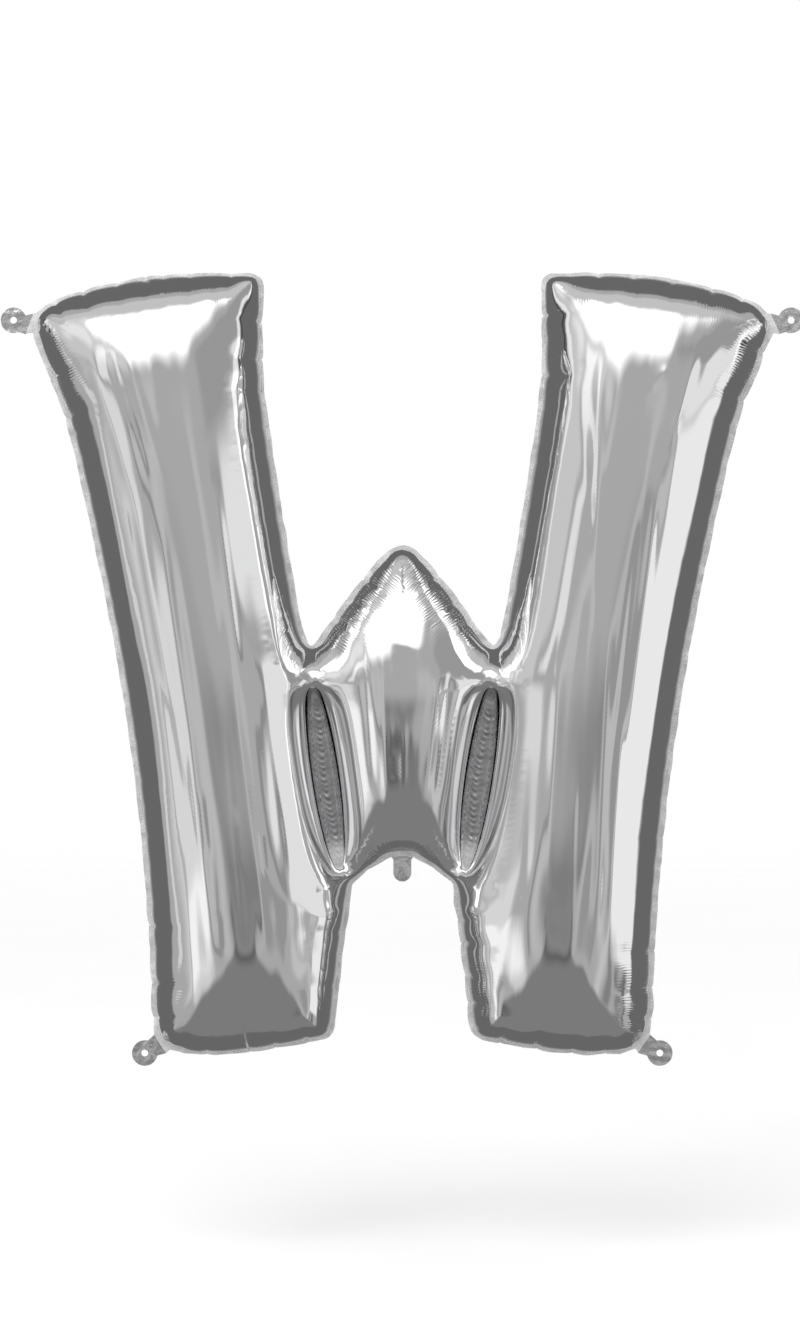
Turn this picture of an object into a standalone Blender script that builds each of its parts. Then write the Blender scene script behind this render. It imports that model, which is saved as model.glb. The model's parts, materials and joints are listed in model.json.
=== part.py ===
"""Foil balloon in the shape of the letter W, inflated, with hanging tabs and a filling neck.

The frame: X to the reader's right, Y away from the reader, Z up, in metres. The origin is the
middle of the envelope, in the plane of the weld where the front and back films meet.
"""

import math

import bpy
import numpy as np
from mathutils.geometry import delaunay_2d_cdt

MM = 0.001

# Films, welds and the clearance between pieces that touch
FILM = 1.0 * MM
WELD = 0.9 * MM
REST = 0.3 * MM
SEAM_WIDTH = 6.5 * MM
FOOT = 2.4 * MM
FULLNESS = 0.93

# The weld line round the right half of the letter, from the peak down to the neck.
# Columns: x in mm, z in mm, how far the corner is rounded back in mm (None: a smooth point)
WELD_LINE = [
    (0.0, 136.9, 30.0),
    (52.0, 75.0, None),
    (101.5, 3.0, 34.0),
    (113.9, 46.2, None),
    (135.5, 172.0, None),
    (153.2, 293.5, None),
    (156.0, 352.6, None),
    (154.8, 418.2, 9.0),
    (215.0, 418.7, None),
    (279.5, 413.9, None),
    (344.0, 399.4, None),
    (376.3, 387.0, None),
    (395.6, 370.9, 7.0),
    (377.3, 322.5, None),
    (355.8, 266.6, None),
    (329.0, 150.5, None),
    (303.2, 21.5, None),
    (283.8, -104.3, None),
    (272.0, -215.0, None),
    (265.0, -313.9, None),
    (263.4, -367.7, None),
    (258.0, -401.0, 9.0),
    (231.0, -408.5, None),
    (193.5, -409.6, None),
    (150.5, -405.3, None),
    (107.5, -397.8, None),
    (78.5, -392.4, 12.0),
    (75.8, -362.3, None),
    (71.0, -319.3, None),
    (65.6, -276.3, None),
    (61.3, -249.4, None),
    (60.3, -228.5, 7.0),
    (38.7, -211.8, None),
    (12.9, -196.7, 3.0),
    (0.0, -196.7, None),
]

# The welded slit between each leg and the middle of the letter
SLIT_TOP = (95.5, -23.7)
SLIT_BOTTOM = (67.2, -216.1)
SLIT_HALF_WIDTH = 12.4
SLIT_POINTS = 36
SLIT_TAPER = 1.1

# Hanging tabs. Columns: name, root ends (x, z) in mm, eye (x, z) in mm
TABS = [
    ("tab_top", ((396.1, 381.1), (405.3, 359.1)), (417.9, 373.8)),
    ("tab_bottom", ((266.3, -394.0), (253.7, -413.9)), (276.8, -413.9)),
]
TAB_RADIUS = 13.8 * MM
TAB_ROOT_ANGLE = math.radians(44)
TAB_END_POINTS = 22
EYE_RADIUS = 3.7 * MM
EYE_SIDES = 16
TAB_AXIS_INSET = 0.8 * MM

# Filling neck and the valve sleeve inside it
NECK_HALF_WIDTH = 9.7 * MM
NECK_LENGTH = 26.0 * MM
NECK_PLY = 0.6 * MM
NECK_SLOT = 1.0 * MM
NECK_SLOT_HALF_WIDTH = 6.6 * MM
NECK_CLOSED_END = 5.0 * MM
NECK_END_POINTS = 14
NECK_AXIS_INSET = 3.0 * MM
SLEEVE_SETBACK = 3.0 * MM

# Scallops of the seam's outer edge
SCALLOP_PITCH = 34.0 * MM
SCALLOP_DEPTH = 1.3 * MM

# How finely the surfaces are cut into facets
LONGEST_STEP = 30.0 * MM
SHARPEST_TURN = math.radians(16)
CORNER_POINTS = 8
RINGS = ((8.0 * MM, 17.0 * MM), (25.0 * MM, 27.0 * MM))
RING_SHARE = 0.8
GRID_STEP = 34.0 * MM
ROW_PITCH = 0.87
GRID_CLEARANCE = 1.5
FINE_STEP = 1.5 * MM
CLEAR_SHARE = 0.97
SHARP_EDGE = math.radians(40)
TOUCHING = 1e-7

# Colours and finishes: base colour, roughness, metallic
FINISHES = {
    "silver_foil": ((0.80, 0.80, 0.81, 1.0), 0.12, 1.0),
    "welded_foil": ((0.72, 0.72, 0.73, 1.0), 0.28, 1.0),
    "valve_plastic": ((0.86, 0.87, 0.88, 1.0), 0.35, 0.0),
}


def clear_scene():
    """Removes whatever the scene starts with."""
    for obj in list(bpy.data.objects):
        bpy.data.objects.remove(obj)


def material(name):
    """The Principled material of one finish."""
    found = bpy.data.materials.get(name)
    if found:
        return found
    colour, roughness, metallic = FINISHES[name]
    made = bpy.data.materials.new(name)
    made.use_nodes = True
    shader = made.node_tree.nodes["Principled BSDF"]
    shader.inputs["Base Color"].default_value = colour
    shader.inputs["Roughness"].default_value = roughness
    shader.inputs["Metallic"].default_value = metallic
    return made


def spline_span(points):
    """A fine polyline through the points: a Catmull-Rom curve with ends that run straight on."""
    points = np.asarray(points, float)
    if len(points) == 2:
        return points
    ends = 2 * points[[0, -1]] - points[[1, -2]]
    padded = np.vstack([ends[0], points, ends[1]])
    pieces = []
    for a, b, c, d in zip(padded, padded[1:], padded[2:], padded[3:]):
        t = np.linspace(0, 1, max(3, int(np.linalg.norm(c - b) / FINE_STEP)))[:, None]
        curve = (2 * b + (c - a) * t + (2 * a - 5 * b + 4 * c - d) * t**2
                 + (3 * b - a - 3 * c + d) * t**3) / 2
        pieces.append(curve[:-1])
    return np.vstack(pieces + [points[-1:]])


def along(line):
    """The distance along a polyline at each of its points."""
    return np.concatenate([[0], np.cumsum(np.linalg.norm(np.diff(line, axis=0), axis=1))])


def trimmed(line, start, end):
    """A polyline without its first and last stretch of the given lengths."""
    at = along(line)
    count = max(2, int((at[-1] - start - end) / FINE_STEP))
    wanted = np.linspace(start, at[-1] - end, count)
    return np.column_stack([np.interp(wanted, at, line[:, k]) for k in range(2)])


def rounded_corner(before, corner, after):
    """A parabola from one span to the next, pulled towards the corner between them."""
    t = np.linspace(0, 1, CORNER_POINTS + 2)[1:-1, None]
    return (1 - t) ** 2 * before + 2 * t * (1 - t) * corner + t**2 * after


def weld_line():
    """The whole weld line, anticlockwise seen from the front, as fine closed points."""
    right = [(x * MM, z * MM, None if r is None else r * MM) for x, z, r in WELD_LINE]
    left = [(-x, z, r) for x, z, r in right[-2:0:-1]]
    loop = right + left
    corners = [i for i, row in enumerate(loop) if row[2] is not None]
    line = []
    for here, there in zip(corners, corners[1:] + corners[:1]):
        last = there if there > here else there + len(loop)
        rows = [loop[i % len(loop)] for i in range(here, last + 1)]
        span = trimmed(spline_span([row[:2] for row in rows]), rows[0][2], rows[-1][2])
        line.append((span, np.array(loop[there][:2])))
    points = []
    for (span, corner), (after, _) in zip(line, line[1:] + line[:1]):
        points += [span, rounded_corner(span[-1], corner, after[0])]
    return np.vstack(points)[::-1]


def slit_line(side):
    """The edge of one welded slit: a leaf whose half width is a power of an ellipse's."""
    top, bottom = np.array(SLIT_TOP) * MM, np.array(SLIT_BOTTOM) * MM
    centre, half = (top + bottom) / 2, (top - bottom) / 2
    across = np.array([half[1], -half[0]]) / np.linalg.norm(half)
    angle = np.linspace(0, 2 * math.pi, SLIT_POINTS, endpoint=False)[:, None]
    width = SLIT_HALF_WIDTH * MM * np.sign(np.sin(angle)) * np.abs(np.sin(angle)) ** SLIT_TAPER
    leaf = centre + half * np.cos(angle) + across * width
    return leaf if side > 0 else (leaf * [-1, 1])[::-1]


def coarse(loop):
    """Every point of a fine closed loop that its shape needs, by length and by turn."""
    ahead = np.roll(loop, -1, axis=0) - loop
    heading = np.unwrap(np.arctan2(ahead[:, 1], ahead[:, 0]))
    kept, run, turned = [0], 0.0, 0.0
    for i in range(1, len(loop)):
        run += np.linalg.norm(loop[i] - loop[i - 1])
        turned += abs(heading[i] - heading[i - 1])
        if run > LONGEST_STEP or turned > SHARPEST_TURN:
            kept.append(i)
            run, turned = 0.0, 0.0
    return loop[kept]


def outward(loop):
    """The unit outward normal at each point of an anticlockwise closed loop."""
    chord = np.roll(loop, -1, axis=0) - np.roll(loop, 1, axis=0)
    chord /= np.linalg.norm(chord, axis=1)[:, None]
    return np.column_stack([chord[:, 1], -chord[:, 0]])


def offset(loop, distance):
    """A closed loop moved out by a distance, or in where it is negative."""
    return loop + outward(loop) * distance


def inside(points, loop):
    """Whether each point lies inside a closed loop, by counting crossings."""
    x, z = points[:, :1], points[:, 1:]
    a, b = loop[None], np.roll(loop, -1, axis=0)[None]
    straddles = (a[..., 1] > z) != (b[..., 1] > z)
    rise = np.where(b[..., 1] == a[..., 1], 1.0, b[..., 1] - a[..., 1])
    crossing = a[..., 0] + (z - a[..., 1]) * (b[..., 0] - a[..., 0]) / rise
    return (straddles & (x < crossing)).sum(1) % 2 == 1


def distance_to(points, loops):
    """The distance from each point to the nearest point of some loops."""
    rims = np.vstack(loops)
    return np.linalg.norm(points[:, None] - rims[None], axis=2).min(1)


def triangulated(outline, holes=(), guides=(), extra=None):
    """(points, triangles) of the area inside an outline and outside its holes.

    The triangles' edges also follow each guide loop, and take in the extra points.
    """
    points, edges, start = [], [], 0
    for loop in [outline, *holes, *guides]:
        points.append(loop)
        edges += [(start + i, start + (i + 1) % len(loop)) for i in range(len(loop))]
        start += len(loop)
    if extra is not None:
        points.append(extra)
    flat = np.vstack(points)
    made = delaunay_2d_cdt([tuple(p) for p in flat.tolist()], edges, [], 0, TOUCHING)
    if len(made[0]) != len(flat):
        raise ValueError("two outline points coincide")
    triangles = np.array(made[2])
    return flat, triangles[within(flat[triangles].mean(1), outline, holes)]


def within(points, outline, holes):
    """Whether each point lies inside the outline and outside every hole."""
    found = inside(points, outline)
    for hole in holes:
        found &= ~inside(points, hole)
    return found


def membrane(points, triangles, fixed):
    """The deflection of a membrane under even pressure, by linear finite elements.

    Twice the deflection is the square of the height of an inflated skin: over a long strip
    that gives an exact half circle, and over a corner a cone that closes at its tip.
    """
    stiffness = np.zeros((len(points), len(points)))
    load = np.zeros(len(points))
    corner = points[triangles]
    for i in range(3):
        j, k = (i + 1) % 3, (i + 2) % 3
        u, v = corner[:, j] - corner[:, i], corner[:, k] - corner[:, i]
        cross = np.abs(u[:, 0] * v[:, 1] - u[:, 1] * v[:, 0])
        weight = (u * v).sum(1) / cross / 2
        a, b = triangles[:, j], triangles[:, k]
        for row, column, sign in ((a, a, 1), (b, b, 1), (a, b, -1), (b, a, -1)):
            np.add.at(stiffness, (row, column), sign * weight)
        np.add.at(load, triangles[:, i], cross / 6)
    free = np.setdiff1d(np.arange(len(points)), fixed)
    deflection = np.zeros(len(points))
    deflection[free] = np.linalg.solve(stiffness[np.ix_(free, free)], load[free])
    return deflection


def skin_height(points, triangles, fixed):
    """The height of the inflated skin over each point."""
    return FULLNESS * np.sqrt(2 * np.maximum(membrane(points, triangles, fixed), 0))


def new_object(name, vertices, triangles, finish):
    """A named mesh object with one material and smooth, sharp-edged shading."""
    mesh = bpy.data.meshes.new(name)
    mesh.from_pydata([tuple(v) for v in vertices.tolist()], [], triangles.tolist())
    mesh.validate()
    mesh.shade_smooth()
    mesh.set_sharp_from_angle(angle=SHARP_EDGE)
    mesh.materials.append(material(finish))
    obj = bpy.data.objects.new(name, mesh)
    bpy.context.scene.collection.objects.link(obj)
    return obj


def plate(name, outline, holes, thickness, finish):
    """A flat plate in the weld's plane: the area inside the outline less its holes."""
    flat, faces = triangulated(outline, holes)
    count = len(flat)
    front = np.column_stack([flat[:, 0], np.full(count, -thickness / 2), flat[:, 1]])
    back = front + [0, thickness, 0]
    sides, start = [], 0
    for loop in [outline, *holes]:
        a = start + np.arange(len(loop))
        b = start + (np.arange(len(loop)) + 1) % len(loop)
        if start:
            a, b = b, a
        sides += [np.column_stack([a, a + count, b]), np.column_stack([b, a + count, b + count])]
        start += len(loop)
    faces = oriented(flat, faces)
    shell = np.vstack([faces, faces[:, ::-1] + count] + sides)
    return new_object(name, np.vstack([front, back]), shell, finish)


def oriented(flat, faces):
    """The triangles with their corners anticlockwise seen from the front."""
    a, b, c = (flat[faces[:, i]] for i in range(3))
    area = (b[:, 0] - a[:, 0]) * (c[:, 1] - a[:, 1]) - (b[:, 1] - a[:, 1]) * (c[:, 0] - a[:, 0])
    turned = faces.copy()
    turned[area < 0] = turned[area < 0][:, ::-1]
    return turned


def film_mesh(rims, seats):
    """(vertices, triangles) of one inflated film, its foot on the plane y = 0 and its crown at -y.

    rims are the film's own edges, and seats the same loops one film's thickness further in,
    which the inner face stands on.
    """
    extra = interior_points(rims)
    flat, faces = triangulated(rims[0], rims[1:], seats, extra)
    faces = oriented(flat, faces)
    rim_count = sum(len(rim) for rim in rims)
    seat_count = sum(len(seat) for seat in seats)
    outer = skin_height(flat, faces, np.arange(rim_count))
    hollow = within(flat[faces].mean(1), seats[0], seats[1:])
    inner_flat, inner_faces = flat[rim_count:], faces[hollow] - rim_count
    inner = skin_height(inner_flat, inner_faces, np.arange(seat_count))
    count = len(flat)
    outer_skin = np.column_stack([flat[:, 0], -outer, flat[:, 1]])
    inner_skin = np.column_stack([inner_flat[:, 0], -inner, inner_flat[:, 1]])
    foot_flat = np.where(faces[~hollow] >= rim_count, faces[~hollow] - rim_count + count, faces[~hollow])
    shell = np.vstack([faces, (inner_faces + count)[:, ::-1], foot_flat[:, ::-1]])
    return np.vstack([outer_skin, inner_skin]), shell


def interior_points(rims):
    """Points inside the letter: rings that follow the edge, then an even staggered grid."""
    rings = []
    for depth, spacing in RINGS:
        for i, loop in enumerate(rims):
            ring = offset(loop, -depth if i == 0 else depth)
            rings.append(spread_out(ring[distance_to(ring, rims) > RING_SHARE * depth], spacing))
    reach = rims[0].max(0)
    rows = np.arange(-reach[1], reach[1], GRID_STEP * ROW_PITCH)
    grid = []
    for n, z in enumerate(rows):
        x = np.arange(GRID_STEP * (n % 2) / 2, reach[0], GRID_STEP)
        x = np.concatenate([-x[x > 0][::-1], x])
        grid.append(np.column_stack([x, np.full(len(x), z)]))
    grid = np.vstack(grid)
    grid = grid[distance_to(grid, rims) > RINGS[-1][0] * GRID_CLEARANCE]
    points = np.vstack(rings + [grid])
    return points[within(points, rims[0], rims[1:])]


def spread_out(points, gap):
    """The points without those closer than the gap to one already kept."""
    kept = []
    for point in points:
        if not kept or np.linalg.norm(np.array(kept) - point, axis=1).min() > gap:
            kept.append(point)
    return np.array(kept).reshape(-1, 2)


def film(name, rims, seats, side):
    """The front film (side -1) or the back film (side +1), its foot clear of the weld."""
    vertices, faces = film_mesh(rims, seats)
    vertices[:, 1] -= WELD / 2 + REST
    if side > 0:
        vertices[:, 1] *= -1
        faces = faces[:, ::-1]
    return new_object(name, vertices, faces, "silver_foil")


def tab_roots():
    """Each tab on both sides: name, its root's two ends, its outward direction and its eye."""
    found = []
    for name, ends, eye in TABS:
        for word, mirror in (("left", -1), ("right", 1)):
            a, b, centre = (np.array(p) * MM * [mirror, 1] for p in (*ends, eye))
            root = (b - a) / np.linalg.norm(b - a)
            out = np.array([root[1], -root[0]])
            out *= np.sign(out @ (centre - a))
            found.append((f"{name}_{word}", a, b, out, centre))
    return found


def seam_edge(fine):
    """The seam's scalloped outer edge, cut straight where each tab and the neck begin."""
    line = spaced_loop(offset_clear(fine, SEAM_WIDTH), FINE_STEP)
    at = along(line)
    waves = np.round(at[-1] / SCALLOP_PITCH)
    phase = np.abs(np.sin(math.pi * waves * at / at[-1]))
    line = line - outward(line) * (SCALLOP_DEPTH * (1 - phase))[:, None]
    for _, a, b, _, _ in tab_roots():
        line = cut_straight(line, a, b)
    neck_side = np.array([NECK_HALF_WIDTH + REST, neck_root()])
    return cut_straight(line, neck_side * [-1, 1], neck_side)


def offset_clear(loop, distance):
    """A loop moved out, without the points that came nearer to the loop than the distance."""
    moved = offset(loop, distance)
    return moved[distance_to(moved, [loop]) > CLEAR_SHARE * abs(distance)]


def spaced_loop(loop, step):
    """A closed loop resampled evenly."""
    closed = np.vstack([loop, loop[:1]])
    at = along(closed)
    wanted = np.linspace(0, at[-1], int(at[-1] / step), endpoint=False)
    return np.column_stack([np.interp(wanted, at, closed[:, k]) for k in range(2)])


def cut_straight(line, a, b):
    """A closed loop with its stretch between the points nearest to a and b replaced by a and b."""
    i = np.linalg.norm(line - a, axis=1).argmin()
    j = np.linalg.norm(line - b, axis=1).argmin()
    if (j - i) % len(line) > len(line) / 2:
        i, j, a, b = j, i, b, a
    turned = np.roll(line, -j, axis=0)
    kept = (i - j) % len(line)
    return np.vstack([b, turned[1:kept], a])


def neck_root():
    """The height at which the seam ends and the neck begins."""
    return WELD_LINE[-1][1] * MM - SEAM_WIDTH


def tab(name, a, b, out, eye):
    """A hanging tab: a round end on a waisted root, with a punched eye. Its origin is on its bend."""
    start_a, start_b = a + out * REST, b + out * REST
    spread = TAB_ROOT_ANGLE
    heading = math.atan2(out[1], out[0])
    side = 1 if (out[0] * (a - eye)[1] - out[1] * (a - eye)[0]) > 0 else -1
    turns = np.linspace(math.pi - spread, spread - math.pi, TAB_END_POINTS) * side + heading
    round_end = eye + TAB_RADIUS * np.column_stack([np.cos(turns), np.sin(turns)])
    outline = np.vstack([start_a, round_end, start_b])
    angle = np.linspace(0, 2 * math.pi, EYE_SIDES, endpoint=False)
    hole = eye + EYE_RADIUS * np.column_stack([np.cos(angle), np.sin(angle)])
    made = plate(name, anticlockwise(outline), [hole], WELD, "welded_foil")
    middle = (a + b) / 2 + out * (REST + TAB_AXIS_INSET)
    return hinged(made, (middle[0], 0, middle[1]))


def anticlockwise(loop):
    """The loop in anticlockwise order."""
    ahead = np.roll(loop, -1, axis=0)
    area = (loop[:, 0] * ahead[:, 1] - loop[:, 1] * ahead[:, 0]).sum()
    return loop if area > 0 else loop[::-1]


def hinged(obj, pivot):
    """Moves an object's origin to its hinge without moving the object."""
    for vertex in obj.data.vertices:
        vertex.co.x -= pivot[0]
        vertex.co.y -= pivot[1]
        vertex.co.z -= pivot[2]
    obj.location = pivot
    return obj


def box(name, low, high, finish):
    """A rectangular block between two corners."""
    corners = np.array([[(low, high)[i][0], (low, high)[j][1], (low, high)[k][2]]
                        for i in (0, 1) for j in (0, 1) for k in (0, 1)])
    quads = [(0, 1, 3, 2), (4, 6, 7, 5), (0, 4, 5, 1), (2, 3, 7, 6), (0, 2, 6, 4), (1, 5, 7, 3)]
    faces = np.array([t for a, b, c, d in quads for t in ((a, b, c), (a, c, d))])
    return new_object(name, corners, faces, finish)


def filling_neck():
    """The flat neck below the middle: two plies welded at the sides, open at the round end."""
    top = neck_root() - REST
    middle = top - NECK_LENGTH + NECK_HALF_WIDTH
    turns = np.linspace(math.pi, 2 * math.pi, NECK_END_POINTS)
    end = np.column_stack([NECK_HALF_WIDTH * np.cos(turns), middle + NECK_HALF_WIDTH * np.sin(turns)])
    outline = np.vstack([[NECK_HALF_WIDTH, top], [-NECK_HALF_WIDTH, top], end])
    neck = plate("filling_neck", anticlockwise(outline), [], 2 * NECK_PLY + NECK_SLOT, "welded_foil")
    slot_top = top - NECK_CLOSED_END
    cutter = box("neck_slot_cutter", (-NECK_SLOT_HALF_WIDTH, -NECK_SLOT / 2, top - 2 * NECK_LENGTH),
                 (NECK_SLOT_HALF_WIDTH, NECK_SLOT / 2, slot_top), "welded_foil")
    cutter.hide_render = True
    cutter.display_type = "WIRE"
    cut = neck.modifiers.new("slot", "BOOLEAN")
    cut.operation = "DIFFERENCE"
    cut.object = cutter
    pivot = (0, 0, top - NECK_AXIS_INSET)
    cutter.parent = neck
    cutter.location = (-pivot[0], -pivot[1], -pivot[2])
    hinged(neck, pivot)
    half_width, half_depth = NECK_SLOT_HALF_WIDTH - REST, NECK_SLOT / 2 - REST
    sleeve = box("valve_sleeve", (-half_width, -half_depth, top - NECK_LENGTH + SLEEVE_SETBACK),
                 (half_width, half_depth, slot_top - REST), "valve_plastic")
    hinged(sleeve, pivot)


def main():
    """Builds the films, the seam, the slit welds, the tabs and the neck, in that order."""
    clear_scene()
    fine = weld_line()
    rims = [coarse(fine)] + [slit_line(side) for side in (1, -1)]
    rims = [anticlockwise(rim) for rim in rims]
    seats = [offset(rim, -FILM if i == 0 else FILM) for i, rim in enumerate(rims)]
    film("front_film", rims, seats, -1)
    film("back_film", rims, seats, 1)
    inner_edge = offset(rims[0], -FOOT)
    plate("edge_seal", coarse(seam_edge(fine)), [inner_edge], WELD, "welded_foil")
    for name, slit in (("right_slit_seal", rims[1]), ("left_slit_seal", rims[2])):
        plate(name, offset(slit, FOOT), [], WELD, "welded_foil")
    for row in tab_roots():
        tab(*row)
    filling_neck()


if __name__ == "__main__":
    main()
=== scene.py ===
"""The looks of an inflated foil letter: chrome films, quilted weld band, slit welds, tabs and filling neck.

The letter stands in the frame's X and Z, and its films bulge towards -Y (front) and +Y (back) from the
weld's plane at Y = 0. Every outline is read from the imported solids, so nothing is fitted by hand.
"""

import json
import logging
import math
from dataclasses import dataclass, field
from enum import Enum

import bpy
import numpy as np
from mathutils.geometry import delaunay_2d_cdt
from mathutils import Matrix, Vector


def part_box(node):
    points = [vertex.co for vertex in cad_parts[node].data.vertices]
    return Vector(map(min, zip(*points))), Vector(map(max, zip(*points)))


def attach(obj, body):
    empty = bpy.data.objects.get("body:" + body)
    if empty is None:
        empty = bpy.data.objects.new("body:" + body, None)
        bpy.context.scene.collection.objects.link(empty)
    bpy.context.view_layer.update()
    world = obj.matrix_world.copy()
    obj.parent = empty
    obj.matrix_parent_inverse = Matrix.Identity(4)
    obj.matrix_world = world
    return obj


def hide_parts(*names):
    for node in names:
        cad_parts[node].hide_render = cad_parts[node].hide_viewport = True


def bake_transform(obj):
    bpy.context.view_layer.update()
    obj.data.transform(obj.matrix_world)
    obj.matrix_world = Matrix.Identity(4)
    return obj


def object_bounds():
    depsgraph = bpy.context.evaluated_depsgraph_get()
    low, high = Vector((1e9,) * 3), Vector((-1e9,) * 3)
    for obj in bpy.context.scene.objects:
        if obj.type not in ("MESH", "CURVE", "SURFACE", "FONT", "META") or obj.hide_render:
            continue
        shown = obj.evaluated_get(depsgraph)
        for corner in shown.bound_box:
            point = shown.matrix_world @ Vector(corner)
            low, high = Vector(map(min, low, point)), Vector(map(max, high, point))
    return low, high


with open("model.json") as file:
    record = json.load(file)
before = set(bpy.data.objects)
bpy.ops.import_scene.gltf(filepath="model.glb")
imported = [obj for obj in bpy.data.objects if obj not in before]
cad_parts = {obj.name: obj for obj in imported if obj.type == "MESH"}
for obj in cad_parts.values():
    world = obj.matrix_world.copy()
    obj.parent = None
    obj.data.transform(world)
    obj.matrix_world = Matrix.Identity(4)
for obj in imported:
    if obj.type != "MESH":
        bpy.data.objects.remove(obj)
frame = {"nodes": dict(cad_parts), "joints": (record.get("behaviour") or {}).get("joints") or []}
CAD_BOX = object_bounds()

LOG = logging.getLogger("foil_letter")
MM = 0.001
INSIDE_EDGES = 1

# The photograph's scale, and the pixel that the middle of the letter lies on
PHOTO_WIDTH_PX = 800
PHOTO_HEIGHT_PX = 1335
PHOTO_MM_PER_PX = 1.075
PHOTO_MIDDLE_PX = (402.3, 668.0)

# Pinches of the weld, where a crease starts. Columns: photo x, photo y in pixels, depth in mm
PINCHES_PX = (
    (54, 301, 2.4), (84, 295, 3.0), (117, 285, 1.6), (147, 280, 2.6), (164, 279, 1.2),
    (192, 278, 1.6), (231, 276, 1.6), (55, 376, 3.4), (69, 416, 2.6), (72, 436, 1.2),
    (261, 322, 2.8), (259, 361, 2.8), (262, 392, 1.2), (266, 428, 0.8), (381, 556, 0.8),
    (366, 580, 2.6), (350, 600, 1.6), (335, 620, 2.0), (424, 557, 0.8), (437, 578, 2.4),
    (455, 604, 2.0), (470, 622, 1.6), (152, 925, 2.6), (155, 983, 3.2), (159, 1016, 2.6),
    (207, 1052, 1.6), (250, 1051, 1.2), (276, 1046, 1.6), (308, 1042, 1.4), (341, 985, 0.8),
    (457, 920, 1.2), (460, 942, 2.4), (465, 975, 1.8), (470, 1002, 2.6), (474, 1028, 1.6),
    (500, 1042, 2.2), (535, 1048, 2.4), (572, 1052, 2.2), (604, 1055, 1.2), (651, 950, 2.4),
    (655, 988, 3.0), (655, 1020, 2.4), (553, 317, 2.8), (552, 377, 3.0), (598, 280, 2.4),
    (632, 281, 2.0), (672, 284, 2.2), (710, 296, 2.6), (739, 303, 2.0), (755, 350, 3.2),
    (742, 401, 2.8), (733, 428, 1.2),
)

# Where fine puckers comb the film beside the weld. Columns: photo x, photo y, half length in mm, strength
COMBS_PX = (
    (66, 385, 34, 1.0), (155, 284, 58, 0.8), (365, 585, 32, 1.0), (335, 620, 22, 1.0),
    (436, 577, 30, 1.0), (462, 612, 26, 1.0), (245, 1046, 44, 0.8), (158, 985, 24, 0.7),
    (653, 985, 52, 1.0), (746, 380, 40, 0.9), (535, 1046, 50, 0.7), (620, 282, 50, 0.7),
    (700, 293, 40, 0.8), (372, 850, 16, 0.8), (432, 850, 16, 0.8), (468, 985, 34, 0.5),
)

# Folds that fan out of a corner. Columns: photo x, photo y, heading and bend for each 100 mm in degrees,
# half spread in degrees, folds, reach in mm, height in mm
FANS_PX = (
    (36, 320, -30, -34, 26, 4, 60, 0.55), (770, 316, 206, 32, 30, 4, 60, 0.50),
    (163, 1042, 50, 22, 30, 4, 55, 0.45), (655, 1044, 130, -20, 30, 4, 65, 0.55),
    (310, 672, 90, 0, 170, 7, 12, 0.35), (494, 672, 90, 0, 170, 7, 12, 0.35),
    (343, 876, 90, 0, 170, 8, 15, 0.8), (467, 876, 90, 0, 170, 8, 15, 0.8),
    (402, 838, 90, 0, 60, 6, 26, 0.45),
)

# Long narrow folds and small dents. Columns: photo x and y of both ends, half width in mm, height in mm
FOLDS_PX = (
    (92, 340, 146, 520, 6.0, 0.36), (108, 335, 162, 510, 4.5, -0.34), (124, 335, 172, 490, 5.0, 0.36),
    (566, 340, 588, 520, 9.0, 0.40), (128, 470, 166, 700, 5.0, -0.26), (142, 500, 178, 720, 4.5, 0.28),
    (164, 500, 200, 780, 4.2, 0.34),
    (218, 480, 247, 700, 3.6, 0.35), (224, 570, 262, 900, 4.6, 0.45), (190, 690, 220, 970, 5.0, 0.55),
    (228, 700, 250, 950, 3.4, -0.35), (243, 720, 272, 960, 3.2, 0.35), (262, 640, 298, 890, 4.6, 0.45),
    (205, 780, 214, 860, 2.4, 0.30), (239, 800, 246, 880, 2.2, 0.28), (262, 820, 270, 880, 2.2, 0.30),
    (222, 904, 225, 950, 6.0, -0.16), (549, 880, 549, 930, 6.0, -0.16), (165, 415, 184, 452, 5.5, 0.14),
    (596, 350, 590, 700, 4.4, 0.45), (640, 470, 604, 800, 4.6, -0.45), (655, 450, 618, 790, 3.8, 0.45),
    (604, 590, 590, 965, 4.4, 0.50), (583, 560, 572, 900, 3.6, -0.35), (556, 640, 545, 900, 4.6, 0.45),
    (617, 700, 603, 965, 3.4, 0.45), (629, 720, 616, 965, 3.0, -0.35), (532, 700, 522, 900, 3.6, -0.30),
    (571, 760, 566, 940, 2.6, 0.28), (664, 372, 640, 400, 5.0, 0.35), (700, 330, 660, 460, 4.0, 0.40),
    (440, 655, 424, 805, 3.6, 0.55), (451, 655, 434, 820, 3.0, -0.45), (462, 660, 446, 820, 2.6, 0.35),
    (383, 640, 388, 830, 3.6, 0.35), (404, 700, 403, 815, 3.0, 0.30), (364, 650, 374, 800, 3.4, -0.35),
    (395, 746, 395, 782, 4.4, -0.22), (420, 806, 421, 832, 4.0, -0.16), (385, 640, 425, 652, 4.5, 0.16),
)


class Side(Enum):
    """Which of the two films a surface belongs to, by the sign of its Y."""

    FRONT = -1
    BACK = 1


def next_in(loop: np.ndarray) -> np.ndarray:
    """Each row's next row round a closed loop."""
    return np.roll(loop, -1, axis=0)


def evened(loop: np.ndarray, passes: int) -> np.ndarray:
    """A closed loop smoothed by weights 1, 2, 1 over neighbours, so that mirrored light runs even."""
    for _ in range(passes):
        loop = (np.roll(loop, 1, axis=0) + 2 * loop + np.roll(loop, -1, axis=0)) / 4
    return loop


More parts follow.
